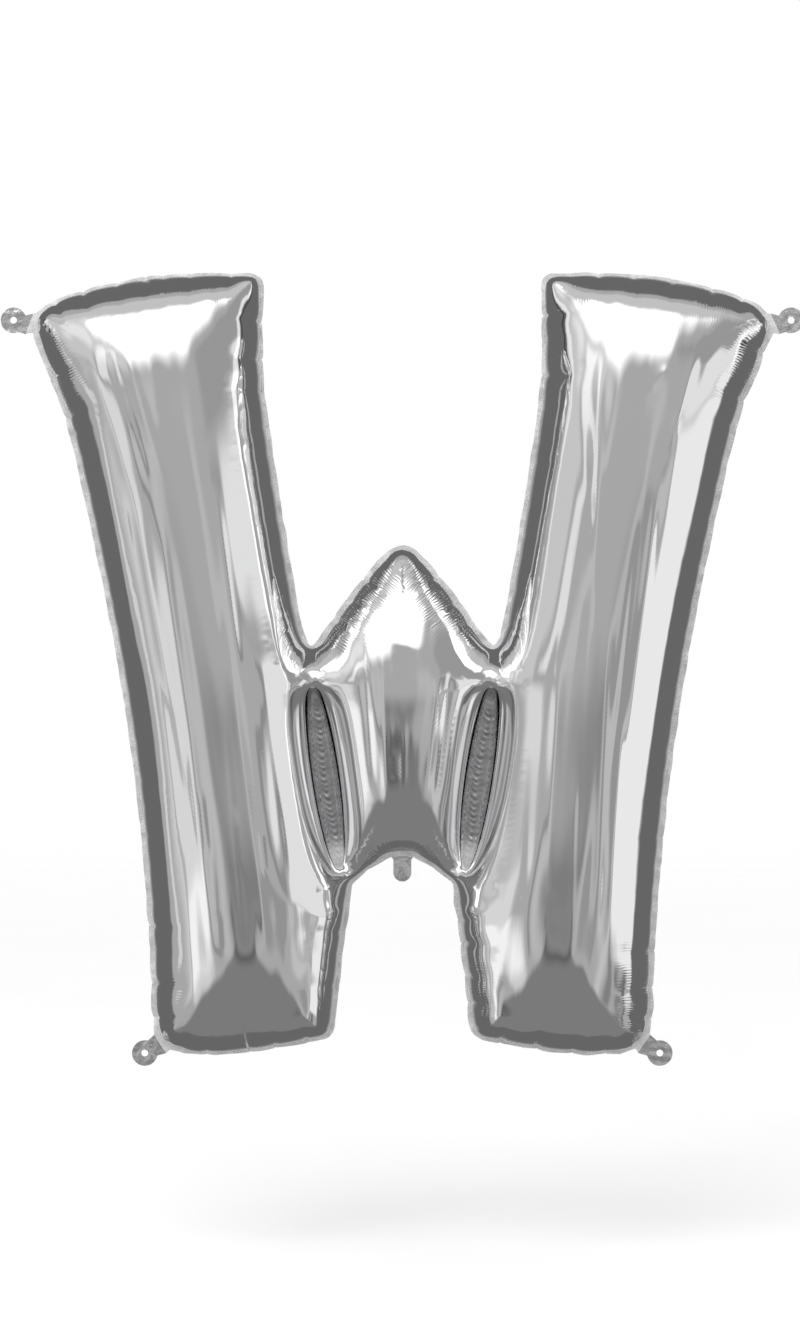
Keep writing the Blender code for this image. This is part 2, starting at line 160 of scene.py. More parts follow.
def signed_area(loop: np.ndarray) -> float:
    """A closed loop's area, positive where it runs anticlockwise seen from the front."""
    ahead = next_in(loop)
    return float((loop[:, 0] * ahead[:, 1] - loop[:, 1] * ahead[:, 0]).sum() / 2)


def anticlockwise(loop: np.ndarray) -> np.ndarray:
    """The same loop, in anticlockwise order."""
    return loop if signed_area(loop) > 0 else loop[::-1].copy()


def arc_length(loop: np.ndarray) -> np.ndarray:
    """The distance along a closed loop at each of its points and back at its start.

    Args:
        loop: the points in order, one a row.

    Returns:
        One value more than the loop has points.
    """
    steps = np.linalg.norm(next_in(loop) - loop, axis=1)
    return np.concatenate([[0.0], np.cumsum(steps)])


def resampled(loop: np.ndarray, step: float) -> np.ndarray:
    """A closed loop with evenly spaced points, about a step apart."""
    at = arc_length(loop)
    closed = np.vstack([loop, loop[:1]])
    wanted = np.linspace(0, at[-1], int(round(at[-1] / step)), endpoint=False)
    return np.column_stack([np.interp(wanted, at, closed[:, k]) for k in range(2)])


def rounded(loop: np.ndarray, step: float) -> np.ndarray:
    """A closed Catmull-Rom curve through a loop's points: cubics whose tangents are the chords.

    Args:
        loop: the coarse points in order.
        step: the spacing of the points that come back, in metres.

    Returns:
        The curve's points, evenly spaced.
    """
    before, after, beyond = np.roll(loop, 1, axis=0), next_in(loop), np.roll(loop, -2, axis=0)
    t = np.linspace(0, 1, 12, endpoint=False)[:, None, None]
    curve = (2 * loop + (after - before) * t + (2 * before - 5 * loop + 4 * after - beyond) * t**2
             + (3 * loop - before - 3 * after + beyond) * t**3) / 2
    return resampled(curve.transpose(1, 0, 2).reshape(-1, 2), step)


def outward(loop: np.ndarray, reach: int = 1) -> np.ndarray:
    """The unit outward normal at each point: the chord over its neighbours, a quarter turn clockwise.

    Args:
        loop: an anticlockwise closed loop.
        reach: how many points away the chord's ends lie.

    Returns:
        One unit vector a point.
    """
    chord = np.roll(loop, -reach, axis=0) - np.roll(loop, reach, axis=0)
    chord /= np.maximum(np.linalg.norm(chord, axis=1), 1e-12)[:, None]
    return np.column_stack([chord[:, 1], -chord[:, 0]])


def inside(points: np.ndarray, loop: np.ndarray) -> np.ndarray:
    """Whether each point lies inside a closed loop, by counting the edges that a level ray crosses."""
    found = np.zeros(len(points), bool)
    a, b = loop[None], next_in(loop)[None]
    rise = np.where(b[..., 1] == a[..., 1], 1.0, b[..., 1] - a[..., 1])
    for rows in np.array_split(np.arange(len(points)), len(points) // 4000 + 1):
        x, z = points[rows, :1], points[rows, 1:]
        crossing = a[..., 0] + (z - a[..., 1]) * (b[..., 0] - a[..., 0]) / rise
        straddles = (a[..., 1] > z) != (b[..., 1] > z)
        found[rows] = (straddles & (x < crossing)).sum(1) % 2 == 1
    return found


def nearest(points: np.ndarray, targets: np.ndarray) -> tuple[np.ndarray, np.ndarray]:
    """The nearest target to each point, from |p|^2 - 2 p.t + |t|^2 as one matrix product a block.

    Args:
        points: the points that ask.
        targets: the points to choose from.

    Returns:
        The index of the nearest target and the distance to it.
    """
    index, gap = np.empty(len(points), int), np.empty(len(points))
    squares = (targets**2).sum(1)
    for rows in np.array_split(np.arange(len(points)), len(points) // 3000 + 1):
        block = points[rows]
        apart = (block**2).sum(1)[:, None] - 2 * block @ targets.T + squares
        best = apart.argmin(1)
        index[rows] = best
        gap[rows] = np.sqrt(np.maximum(apart[np.arange(len(rows)), best], 0))
    return index, gap


def smoothstep(value: np.ndarray, low: float, high: float) -> np.ndarray:
    """0 below low and 1 above high, with the cubic 3t^2 - 2t^3 between them."""
    t = np.clip((value - low) / (high - low), 0, 1)
    return t * t * (3 - 2 * t)


def wavy(at: np.ndarray, wavelength: float, seed: int, waves: int = 5) -> np.ndarray:
    """Smooth noise of about unit size: a sum of sines with wavelengths near the one given.

    Args:
        at: where the noise is wanted.
        wavelength: the typical wavelength, in the units of at.
        seed: picks the wavelengths and phases.
        waves: how many sines are added.

    Returns:
        One value for each place.
    """
    draw = np.random.default_rng(seed)
    pitch = wavelength * draw.uniform(0.6, 1.7, waves)
    phase = draw.uniform(0, 2 * math.pi, waves)
    return np.sin(np.asarray(at)[..., None] / pitch * 2 * math.pi + phase).sum(-1) / math.sqrt(waves)


def foot_loops(node: str) -> list[np.ndarray]:
    """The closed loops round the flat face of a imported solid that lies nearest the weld's plane.

    Args:
        node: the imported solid's name.

    Returns:
        The loops as (x, z) points, anticlockwise, largest area first.
    """
    mesh = frame["nodes"][node].data
    places = np.empty(len(mesh.vertices) * 3, np.float32)
    mesh.vertices.foreach_get("co", places)
    mesh.calc_loop_triangles()
    corners = np.empty(len(mesh.loop_triangles) * 3, np.int32)
    mesh.loop_triangles.foreach_get("vertices", corners)
    places = np.round(places.reshape(-1, 3).astype(float), 6)
    places, number = np.unique(places, axis=0, return_inverse=True)
    corners = number.reshape(-1)[corners].reshape(-1, 3)
    levels = places[corners, 1]
    plane = levels.max() if abs(levels.max()) < abs(levels.min()) else levels.min()
    flat = corners[(np.abs(levels - plane) < 0.02 * MM).all(1)]
    edges = np.vstack([flat[:, [0, 1]], flat[:, [1, 2]], flat[:, [2, 0]]])
    keys, counts = np.unique(np.sort(edges, axis=1), axis=0, return_counts=True)
    lone = {tuple(pair) for pair in keys[counts == 1].tolist()}
    follows: dict[int, list[int]] = {}
    for a, b in edges.tolist():
        if (min(a, b), max(a, b)) in lone:
            follows.setdefault(a, []).append(b)
    loops = []
    while follows:
        ring = [next(iter(follows))]
        while ring[0] != ring[-1] or len(ring) == 1:
            here = ring[-1]
            ring.append(follows[here].pop())
            if not follows[here]:
                del follows[here]
        loops.append(anticlockwise(places[ring[:-1]][:, [0, 2]]))
    return sorted(loops, key=signed_area, reverse=True)


def triangulated(outline: np.ndarray, holes: list[np.ndarray], extra: np.ndarray) -> tuple[np.ndarray, np.ndarray]:
    """Constrained Delaunay triangles of the area inside an outline and outside its holes.

    Args:
        outline: the outer closed loop.
        holes: the closed loops that are left empty.
        extra: the points inside that the triangles also use.

    Returns:
        The points, with the loops' first, and the triangles, anticlockwise seen from the front.
    """
    edges, start = [], 0
    for loop in [outline, *holes]:
        here = start + np.arange(len(loop))
        edges += np.column_stack([here, np.roll(here, -1)]).tolist()
        start += len(loop)
    flat = np.vstack([outline, *holes, extra])
    made = delaunay_2d_cdt(flat.tolist(), edges, [], INSIDE_EDGES, 1e-7)
    triangles = np.array(made[2])
    if len(made[0]) != len(flat):
        raise ValueError("two points of an outline coincide")
    spans = (triangles < start).all(1)
    middles = flat[triangles[spans]].mean(1)
    kept = inside(middles, outline)
    for hole in holes:
        kept &= ~inside(middles, hole)
    spans[spans] = ~kept
    triangles = triangles[~spans]
    a, b, c = (flat[triangles[:, k]] for k in range(3))
    area = (b[:, 0] - a[:, 0]) * (c[:, 1] - a[:, 1]) - (b[:, 1] - a[:, 1]) * (c[:, 0] - a[:, 0])
    triangles[area < 0] = triangles[area < 0][:, ::-1]
    return flat, triangles


def cotangents(points: np.ndarray, triangles: np.ndarray) -> tuple[np.ndarray, np.ndarray, np.ndarray]:
    """The edges of a flat mesh with their weights: half the cotangent of the angle that faces each.

    Args:
        points: the flat places of the mesh.
        triangles: its triangles.

    Returns:
        The two ends of each side of each triangle, and its weight.
    """
    corner = points[triangles]
    ends, others, weights = [], [], []
    for i in range(3):
        j, k = (i + 1) % 3, (i + 2) % 3
        u, v = corner[:, j] - corner[:, i], corner[:, k] - corner[:, i]
        cross = np.maximum(np.abs(u[:, 0] * v[:, 1] - u[:, 1] * v[:, 0]), 1e-14)
        ends.append(triangles[:, j])
        others.append(triangles[:, k])
        weights.append(np.maximum((u * v).sum(1) / cross / 2, 0))
    return np.concatenate(ends), np.concatenate(others), np.concatenate(weights)


def deflection(points: np.ndarray, triangles: np.ndarray, fixed: int) -> np.ndarray:
    """The deflection u of a membrane under even pressure, from linear elements and conjugate gradients.

    The inflated skin's height is sqrt(2u): a half circle over a long strip, and a cone at a corner.

    Args:
        points: the flat places of the mesh.
        triangles: its triangles.
        fixed: how many of the first points are held at zero.

    Returns:
        The deflection at each point, in square metres.
    """
    count = len(points)
    a, b, w = cotangents(points, triangles)
    u, v = (points[triangles[:, k]] - points[triangles[:, 0]] for k in (1, 2))
    area = np.abs(u[:, 0] * v[:, 1] - u[:, 1] * v[:, 0]) / 2
    load = sum(np.bincount(triangles[:, k], area / 3, count) for k in range(3))
    diagonal = np.bincount(a, w, count) + np.bincount(b, w, count) + 1e-12
    free = (np.arange(count) >= fixed).astype(float)
    found, left = np.zeros(count), load * free
    ahead = left / diagonal
    strength = left @ ahead
    for _ in range(1500):
        flow = w * (ahead[a] - ahead[b])
        pull = (np.bincount(a, flow, count) - np.bincount(b, flow, count)) * free
        share = strength / (ahead @ pull)
        found += share * ahead
        left -= share * pull
        if np.abs(left).max() < 1e-12:
            break
        scaled = left / diagonal
        stronger = left @ scaled
        ahead = scaled + stronger / strength * ahead
        strength = stronger
    return np.maximum(found, 0)


def vertex_normals(points: np.ndarray, triangles: np.ndarray) -> np.ndarray:
    """Unit normals at the points: the sum of the cross products of the triangles round each one."""
    a, b, c = (points[triangles[:, k]] for k in range(3))
    cross = np.cross(b - a, c - a)
    total = np.column_stack([
        sum(np.bincount(triangles[:, k], cross[:, axis], len(points)) for k in range(3)) for axis in range(3)])
    return total / np.maximum(np.linalg.norm(total, axis=1), 1e-15)[:, None]


def mesh_object(name: str, points: np.ndarray, triangles: np.ndarray, finish: bpy.types.Material,
                crease: float = 50.0) -> bpy.types.Object:
    """A smooth-shaded mesh at the origin, with one material.

    Args:
        name: the piece's name.
        points: its vertices in metres.
        triangles: its faces.
        finish: its material.
        crease: the angle in degrees past which an edge stays sharp.

    Returns:
        The new object, linked to the scene.
    """
    mesh = bpy.data.meshes.new(name)
    mesh.vertices.add(len(points))
    mesh.vertices.foreach_set("co", points.astype(np.float32).ravel())
    mesh.loops.add(triangles.size)
    mesh.loops.foreach_set("vertex_index", triangles.astype(np.int32).ravel())
    mesh.polygons.add(len(triangles))
    mesh.polygons.foreach_set("loop_start", np.arange(0, triangles.size, 3, dtype=np.int32))
    mesh.update(calc_edges=True)
    mesh.validate()
    mesh.shade_smooth()
    mesh.set_sharp_from_angle(angle=math.radians(crease))
    mesh.materials.append(finish)
    made = bpy.data.objects.new(name, mesh)
    bpy.context.scene.collection.objects.link(made)
    return made


def point_attribute(piece: bpy.types.Object, name: str, values: np.ndarray) -> None:
    """Stores one number a vertex under a name that the material reads."""
    made = piece.data.attributes.new(name, "FLOAT", "POINT")
    made.data.foreach_set("value", values.astype(np.float32))


def uv_map(piece: bpy.types.Object, name: str, places: np.ndarray) -> None:
    """Stores a UV map, in metres, from one (u, v) a vertex."""
    layer = piece.data.uv_layers.new(name=name)
    corner = np.empty(len(piece.data.loops), np.int32)
    piece.data.loops.foreach_get("vertex_index", corner)
    layer.data.foreach_set("uv", places[corner].astype(np.float32).ravel())


def plate(flat: np.ndarray, triangles: np.ndarray, loops: list[int], front: np.ndarray,
          back: np.ndarray) -> tuple[np.ndarray, np.ndarray]:
    """A closed plate from one flat mesh: a front and a back sheet, joined round each loop.

    Args:
        flat: (x, z) places, with each loop's points first and in order.
        triangles: the front's triangles.
        loops: how many points each loop has, the outline's first.
        front: the front sheet's Y at each point.
        back: the back sheet's Y at each point.

    Returns:
        The vertices and triangles, facing outwards.
    """
    count = len(flat)
    sheets = [np.column_stack([flat[:, 0], y, flat[:, 1]]) for y in (front, back)]
    walls, start = [], 0
    for length in loops:
        a = start + np.arange(length)
        b = start + (np.arange(length) + 1) % length
        if start:
            a, b = b, a
        walls += [np.column_stack([a, a + count, b]), np.column_stack([b, a + count, b + count])]
        start += length
    return np.vstack(sheets), np.vstack([triangles, triangles[:, ::-1] + count, *walls])


class Nodes:
    """Makes and joins the shader nodes of one material or world."""

    def __init__(self, tree: bpy.types.NodeTree) -> None:
        """Takes the tree that the nodes go into."""
        self.tree = tree

    def add(self, kind: str, settings: dict | None = None, **inputs: object) -> bpy.types.Node:
        """A node with its settings and inputs; an input is a value or another node's output.

        Args:
            kind: the node's type without the word ShaderNode.
            settings: the node's own properties.
            **inputs: values or sockets by input name, with _ for a space.

        Returns:
            The node.
        """
        node = self.tree.nodes.new("ShaderNode" + kind)
        for key, value in (settings or {}).items():
            setattr(node, key, value)
        for key, value in inputs.items():
            socket = node.inputs[int(key[1:])] if key[1:].isdigit() else node.inputs[key.replace("_", " ")]
            if isinstance(value, bpy.types.NodeSocket):
                self.tree.links.new(value, socket)
            else:
                socket.default_value = value
        return node

    def math(self, operation: str, *values: object) -> bpy.types.NodeSocket:
        """The output of a Math node on one, two or three values or sockets."""
        inputs = {f"i{n}": value for n, value in enumerate(values)}
        return self.add("Math", {"operation": operation}, **inputs).outputs[0]

    def ramp(self, value: bpy.types.NodeSocket, low: float, high: float, out_low: float = 0.0,
             out_high: float = 1.0) -> bpy.types.NodeSocket:
        """A smooth step of a socket's value from low to high."""
        node = self.add("MapRange", {"interpolation_type": "SMOOTHSTEP"}, Value=value, From_Min=low,
                        From_Max=high, To_Min=out_low, To_Max=out_high)
        return node.outputs["Result"]


def new_material(name: str) -> tuple[bpy.types.Material, Nodes, bpy.types.Node]:
    """A node material with its Principled shader.

    Args:
        name: the material's name.

    Returns:
        The material, the maker of its nodes and its Principled node.
    """
    made = bpy.data.materials.new(name)
    made.use_nodes = True
    return made, Nodes(made.node_tree), made.node_tree.nodes["Principled BSDF"]


@dataclass(frozen=True)
class FilmFinish:
    """The mirror-bright metallised film: fine lengthwise streaks, combed puckers and a few specks."""

    colour: tuple = (0.93, 0.93, 0.935, 1.0)
    roughness: float = 0.045
    streak_width: float = 7 * MM
    streak_length: float = 260 * MM
    streak_height: float = 0.06 * MM
    comb_pitch: float = 3.4 * MM
    comb_height: float = 0.26 * MM
    speck_spacing: float = 16 * MM

    def material(self) -> bpy.types.Material:
        """The film's node material, on Object coordinates and the weld UV map."""
        made, nodes, shader = new_material("silver_foil")
        place = nodes.add("TexCoord").outputs["Object"]
        axes = nodes.add("SeparateXYZ", i0=place).outputs
        lean = nodes.math("MULTIPLY_ADD", axes[2], nodes.math("MULTIPLY", axes[2], -0.09), nodes.math(
            "MULTIPLY", axes[2], -0.126))
        across = nodes.math("ADD", nodes.math("ABSOLUTE", axes[0]), lean)
        laid = nodes.add("CombineXYZ", i0=nodes.math("DIVIDE", across, self.streak_width),
                         i1=nodes.math("DIVIDE", axes[1], self.streak_width * 2),
                         i2=nodes.math("DIVIDE", axes[2], self.streak_length)).outputs[0]
        streaks = nodes.add("TexNoise", Vector=laid, Scale=1.0, Detail=3.0, Roughness=0.45).outputs["Fac"]
        weld = nodes.add("UVMap", {"uv_map": "weld"}).outputs[0]
        broad = nodes.add("Mapping", Vector=weld, Scale=(1 / (9 * MM), 1 / (16 * MM), 1.0)).outputs[0]
        drift = nodes.add("TexNoise", Vector=broad, Scale=1.0, Detail=1.0).outputs["Fac"]
        turn = nodes.math("MULTIPLY", nodes.add("SeparateXYZ", i0=weld).outputs[0], 2 * math.pi / self.comb_pitch)
        comb = nodes.math("SINE", nodes.math("MULTIPLY_ADD", drift, 9.0, turn))
        mask = nodes.add("Attribute", {"attribute_name": "comb"}).outputs["Fac"]
        height = nodes.math("MULTIPLY", nodes.math("MULTIPLY", comb, mask), self.comb_height)
        height = nodes.math("MULTIPLY_ADD", streaks, self.streak_height, height)
        specks = nodes.add("TexVoronoi", Vector=place, Scale=1 / self.speck_spacing, Randomness=1.0)
        dot = nodes.ramp(specks.outputs["Distance"], 0.03, 0.045, 0.03 * MM, 0.0)
        height = nodes.math("ADD", height, dot)
        bump = nodes.add("Bump", Height=height, Strength=1.0, Distance=1.0)
        made.node_tree.links.new(bump.outputs[0], shader.inputs["Normal"])
        haze = nodes.add("TexNoise", Vector=place, Scale=14.0, Detail=4.0).outputs["Fac"]
        rough = nodes.ramp(haze, 0.35, 0.75, self.roughness * 0.6, self.roughness * 1.5)
        made.node_tree.links.new(rough, shader.inputs["Roughness"])
        shader.inputs["Base Color"].default_value = self.colour
        shader.inputs["Metallic"].default_value = 1.0
        return made


@dataclass(frozen=True)
class WeldFinish:
    """The heat-sealed film: paler, softer, with the fine quilting of the sealing iron."""

    name: str = "welded_foil"
    colour: tuple = (0.93, 0.93, 0.935, 1.0)
    dim: tuple = (0.78, 0.78, 0.79, 1.0)
    roughness: float = 0.30
    metal: float = 0.6
    quilt_height: float = 0.16 * MM
    crumple_height: float = 0.5 * MM
    quilt_pitch: float = 1.5 * MM
    crumple: float = 5 * MM
    # Whether to paint a highlight: near-white, less metallic film where the tip mask is set.
    painted_tip_highlight: bool = False

    def material(self) -> bpy.types.Material:
        """The weld's node material: a crossed wave quilt and a crumple, both on Object coordinates. Where the tip
        option is set, it also paints a highlight: near-white, less metallic film where the tip mask is.
        """
        made, nodes, shader = new_material(self.name)
        place = nodes.add("TexCoord").outputs["Object"]
        axes = nodes.add("SeparateXYZ", i0=place).outputs
        turn = 2 * math.pi / self.quilt_pitch
        rows = nodes.math("SINE", nodes.math("MULTIPLY", nodes.math("ADD", axes[0], axes[2]), turn))
        lines = nodes.math("SINE", nodes.math("MULTIPLY", nodes.math("SUBTRACT", axes[0], axes[2]), turn))
        quilt = nodes.math("MULTIPLY", nodes.math("MULTIPLY", rows, lines), self.quilt_height / 2)
        folds = nodes.add("TexNoise", Vector=place, Scale=1 / self.crumple, Detail=3.0).outputs["Fac"]
        height = nodes.math("MULTIPLY_ADD", folds, self.crumple_height, quilt)
        bump = nodes.add("Bump", Height=height, Strength=0.9, Distance=1.0)
        made.node_tree.links.new(bump.outputs[0], shader.inputs["Normal"])
        cloud = nodes.add("TexNoise", Vector=place, Scale=90.0, Detail=3.0).outputs["Fac"]
        rough = nodes.ramp(cloud, 0.3, 0.7, self.roughness * 0.6, self.roughness * 1.6)
        made.node_tree.links.new(rough, shader.inputs["Roughness"])
        tone = nodes.add("MixRGB", Fac=nodes.ramp(cloud, 0.35, 0.7), Color1=self.colour,
                         Color2=self.dim)
        # Painted highlight: the tip mask mixes the colour towards near white and lowers the metal to 0.35, so those
        # places read bright.
        if self.painted_tip_highlight:
            tip_highlight_mask = nodes.add("Attribute", {"attribute_name": "tip_highlight_mask"}).outputs["Fac"]
            tone = nodes.add("MixRGB", Fac=tip_highlight_mask, Color1=tone.outputs[0], Color2=(0.97, 0.97, 0.97, 1.0))
            made.node_tree.links.new(nodes.ramp(tip_highlight_mask, 0.0, 1.0, self.metal, 0.35), shader.inputs["Metallic"])
        else:
            shader.inputs["Metallic"].default_value = self.metal
        made.node_tree.links.new(tone.outputs[0], shader.inputs["Base Color"])
        return made


@dataclass(frozen=True)
class ValveFinish:
    """The cloudy plastic of the valve sleeve in the neck."""

    colour: tuple = (0.86, 0.87, 0.88, 1.0)
    roughness: float = 0.35

    def material(self) -> bpy.types.Material:
        """The sleeve's node material: a soft grain in its roughness and height."""
        made, nodes, shader = new_material("valve_plastic")
        place = nodes.add("TexCoord").outputs["Object"]
        grain = nodes.add("TexNoise", Vector=place, Scale=400.0, Detail=3.0).outputs["Fac"]
        rough = nodes.ramp(grain, 0.3, 0.7, self.roughness * 0.7, self.roughness * 1.3)
        made.node_tree.links.new(rough, shader.inputs["Roughness"])
        bump = nodes.add("Bump", Height=grain, Strength=0.2, Distance=0.05 * MM)
        made.node_tree.links.new(bump.outputs[0], shader.inputs["Normal"])
        shader.inputs["Base Color"].default_value = self.colour
        shader.inputs["Transmission Weight"].default_value = 0.3
        return made


@dataclass
class Weld:
    """The weld line: the closed loops along which the films meet, with their pinches and scallops."""

    step: float = 2.3 * MM
    pinch_share: float = 0.85
    small_pitch: float = 31 * MM
    small_depth: float = 0.9 * MM
    fade: float = 13 * MM
    slit_share: float = 0.6
    overlap: float = 2.6 * MM
    loops: list[np.ndarray] = field(default_factory=list)

    def __post_init__(self) -> None:
        """Reads the loops from the front film's foot: its outer edge, then its two inner edges."""
        found = foot_loops("front_film")
        leaves = sorted(found[-2:], key=lambda loop: loop[:, 0].mean())
        leaves = [self.narrowed(leaf) for leaf in leaves]
        self.loops = [evened(rounded(loop, self.step), 6) for loop in [self.spread(found[0]), *leaves]]
        self.points = np.vstack(self.loops)
        self.at = np.concatenate([arc_length(loop)[:-1] for loop in self.loops])
        self.normals = np.vstack([outward(loop, 2) * (1 if n == 0 else -1) for n, loop in enumerate(self.loops)])
        self.count = len(self.points)
        self.pinches = self.pinch_places()
        turns = [np.roll(np.arange(len(loop)), -1) for loop in self.loops]
        starts = np.cumsum([0] + [len(loop) for loop in self.loops[:-1]])
        self.ahead = np.concatenate([turn + start for turn, start in zip(turns, starts)])
        self.behind = np.argsort(self.ahead)
        every = np.arange(self.count)
        self.scalloped = self.warped(self.points, every, np.zeros(self.count))

    def spread(self, rim: np.ndarray) -> np.ndarray:
        """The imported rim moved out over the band: a little at the legs' outer sides, more elsewhere."""
        normal = outward(rim)
        aside = smoothstep(normal[:, 0] * np.sign(rim[:, 0]), 0.5, 0.9)
        at_joint = np.ones(len(rim))
        for place in root_places():
            at_joint *= smoothstep(np.linalg.norm(rim - place, axis=1), 9 * MM, 22 * MM)
        return rim + normal * ((self.overlap - (self.overlap - 0.8 * MM) * aside) * at_joint)[:, None]

    def narrowed(self, leaf: np.ndarray) -> np.ndarray:
        """A slit's loop drawn in towards the line between its tips, where the walls mirror the leaf."""
        foot, head = leaf[leaf[:, 1].argmin()], leaf[leaf[:, 1].argmax()]
        along = (head - foot) / np.linalg.norm(head - foot)
        aside = np.array([along[1], -along[0]])
        across = (leaf - foot) @ aside
        return leaf - (1 - self.slit_share) * across[:, None] * aside

    def pinch_places(self) -> np.ndarray:
        """(arc position, depth) of every pinch of the outer loop, in order along it.

        The ones seen in the photograph come first, and small even ones fill the stretches between.
        """
        table = np.array(PINCHES_PX)
        seen = (table[:, :2] - PHOTO_MIDDLE_PX) * PHOTO_MM_PER_PX * MM * (1, -1)
        index, _ = nearest(seen, self.loops[0])
        places = [tuple(row) for row in np.column_stack([self.at[index], table[:, 2] * MM])]
        places.sort()
        length = arc_length(self.loops[0])[-1]
        draw = np.random.default_rng(11)
        filled = []
        for (here, depth), (there, _) in zip(places, places[1:] + [(places[0][0] + length, 0)]):
            filled.append((here, depth))
            parts = int((there - here) // self.small_pitch)
            for part in range(1, parts):
                shift = draw.uniform(-0.25, 0.25)
                spot = here + (there - here) * (part + shift) / parts
                filled.append((spot % length, self.small_depth * draw.uniform(0.5, 1.4)))
        return np.array(sorted(filled))

    def between(self, at: np.ndarray) -> tuple[np.ndarray, np.ndarray, np.ndarray]:
        """Where each place on the outer loop lies between its two pinches.

        Args:
            at: arc positions.

        Returns:
            The share of the way, the mean depth of the two pinches and the distance to the nearer one.
        """
        length = arc_length(self.loops[0])[-1]
        spots, depths = self.pinches.T
        spots = np.concatenate([[spots[-1] - length], spots, [spots[0] + length]])
        depths = np.concatenate([depths[-1:], depths, depths[:1]])
        after = np.clip(np.searchsorted(spots, at, side="right"), 1, len(spots) - 1)
        low, high = spots[after - 1], spots[after]
        share = (at - low) / np.maximum(high - low, 1e-9)
        mean = depths[after - 1] * (1 - share) + depths[after] * share
        return share, mean, np.minimum(at - low, high - at)

    def combed(self, at: np.ndarray) -> np.ndarray:
        """How strongly fine puckers comb the film at each arc position: a sum of bell curves."""
        table = np.array(COMBS_PX, float)
        seen = (table[:, :2] - PHOTO_MIDDLE_PX) * PHOTO_MM_PER_PX * MM * (1, -1)
        spots = self.at[nearest(seen, self.loops[0])[0]]
        length = arc_length(self.loops[0])[-1]
        away = (at[:, None] - spots + length / 2) % length - length / 2
        return (table[:, 3] * np.exp(-((away / (table[:, 2] * MM)) ** 2))).sum(1)

    def scallop(self, at: np.ndarray) -> np.ndarray:
        """How far the outer loop bows out of its mean line: sqrt(4t(1-t)) from pinch to pinch."""
        share, mean, _ = self.between(at)
        bow = np.sqrt(np.clip(4 * share * (1 - share), 0, 1))
        return mean * (bow - 0.7)

    def measured(self, flat: np.ndarray, index: np.ndarray) -> tuple[np.ndarray, np.ndarray]:
        """The arc position and exact distance of the nearest place on the scalloped weld.

        Each place is dropped square onto the two stretches that meet at its nearest weld point.

        Args:
            flat: the places.
            index: the nearest weld point of each.

        Returns:
            The arc positions and the distances.
        """
        best, at = np.full(len(flat), np.inf), self.at[index]
        for other in (self.ahead, self.behind):
            here, run = self.scalloped[index], self.scalloped[other[index]] - self.scalloped[index]
            share = np.clip(((flat - here) * run).sum(1) / (run**2).sum(1), 0, 1)
            gap = np.linalg.norm(flat - here - run * share[:, None], axis=1)
            step = self.step * (1 if other is self.ahead else -1)
            at = np.where(gap < best, self.at[index] + share * step, at)
            best = np.minimum(best, gap)
        return at, best

    def warped(self, flat: np.ndarray, index: np.ndarray, gap: np.ndarray) -> np.ndarray:
        """Plan places moved with the scallops, by a share that fades away from the weld.

        Args:
            flat: the even places.
            index: the nearest weld point of each.
            gap: the distance to it.

        Returns:
            The moved places.
        """
        outer = index < len(self.loops[0])
        move = np.where(outer, self.scallop(self.at[index]), 0) * np.exp(-gap / self.fade)
        return flat + self.normals[index] * move[:, None]


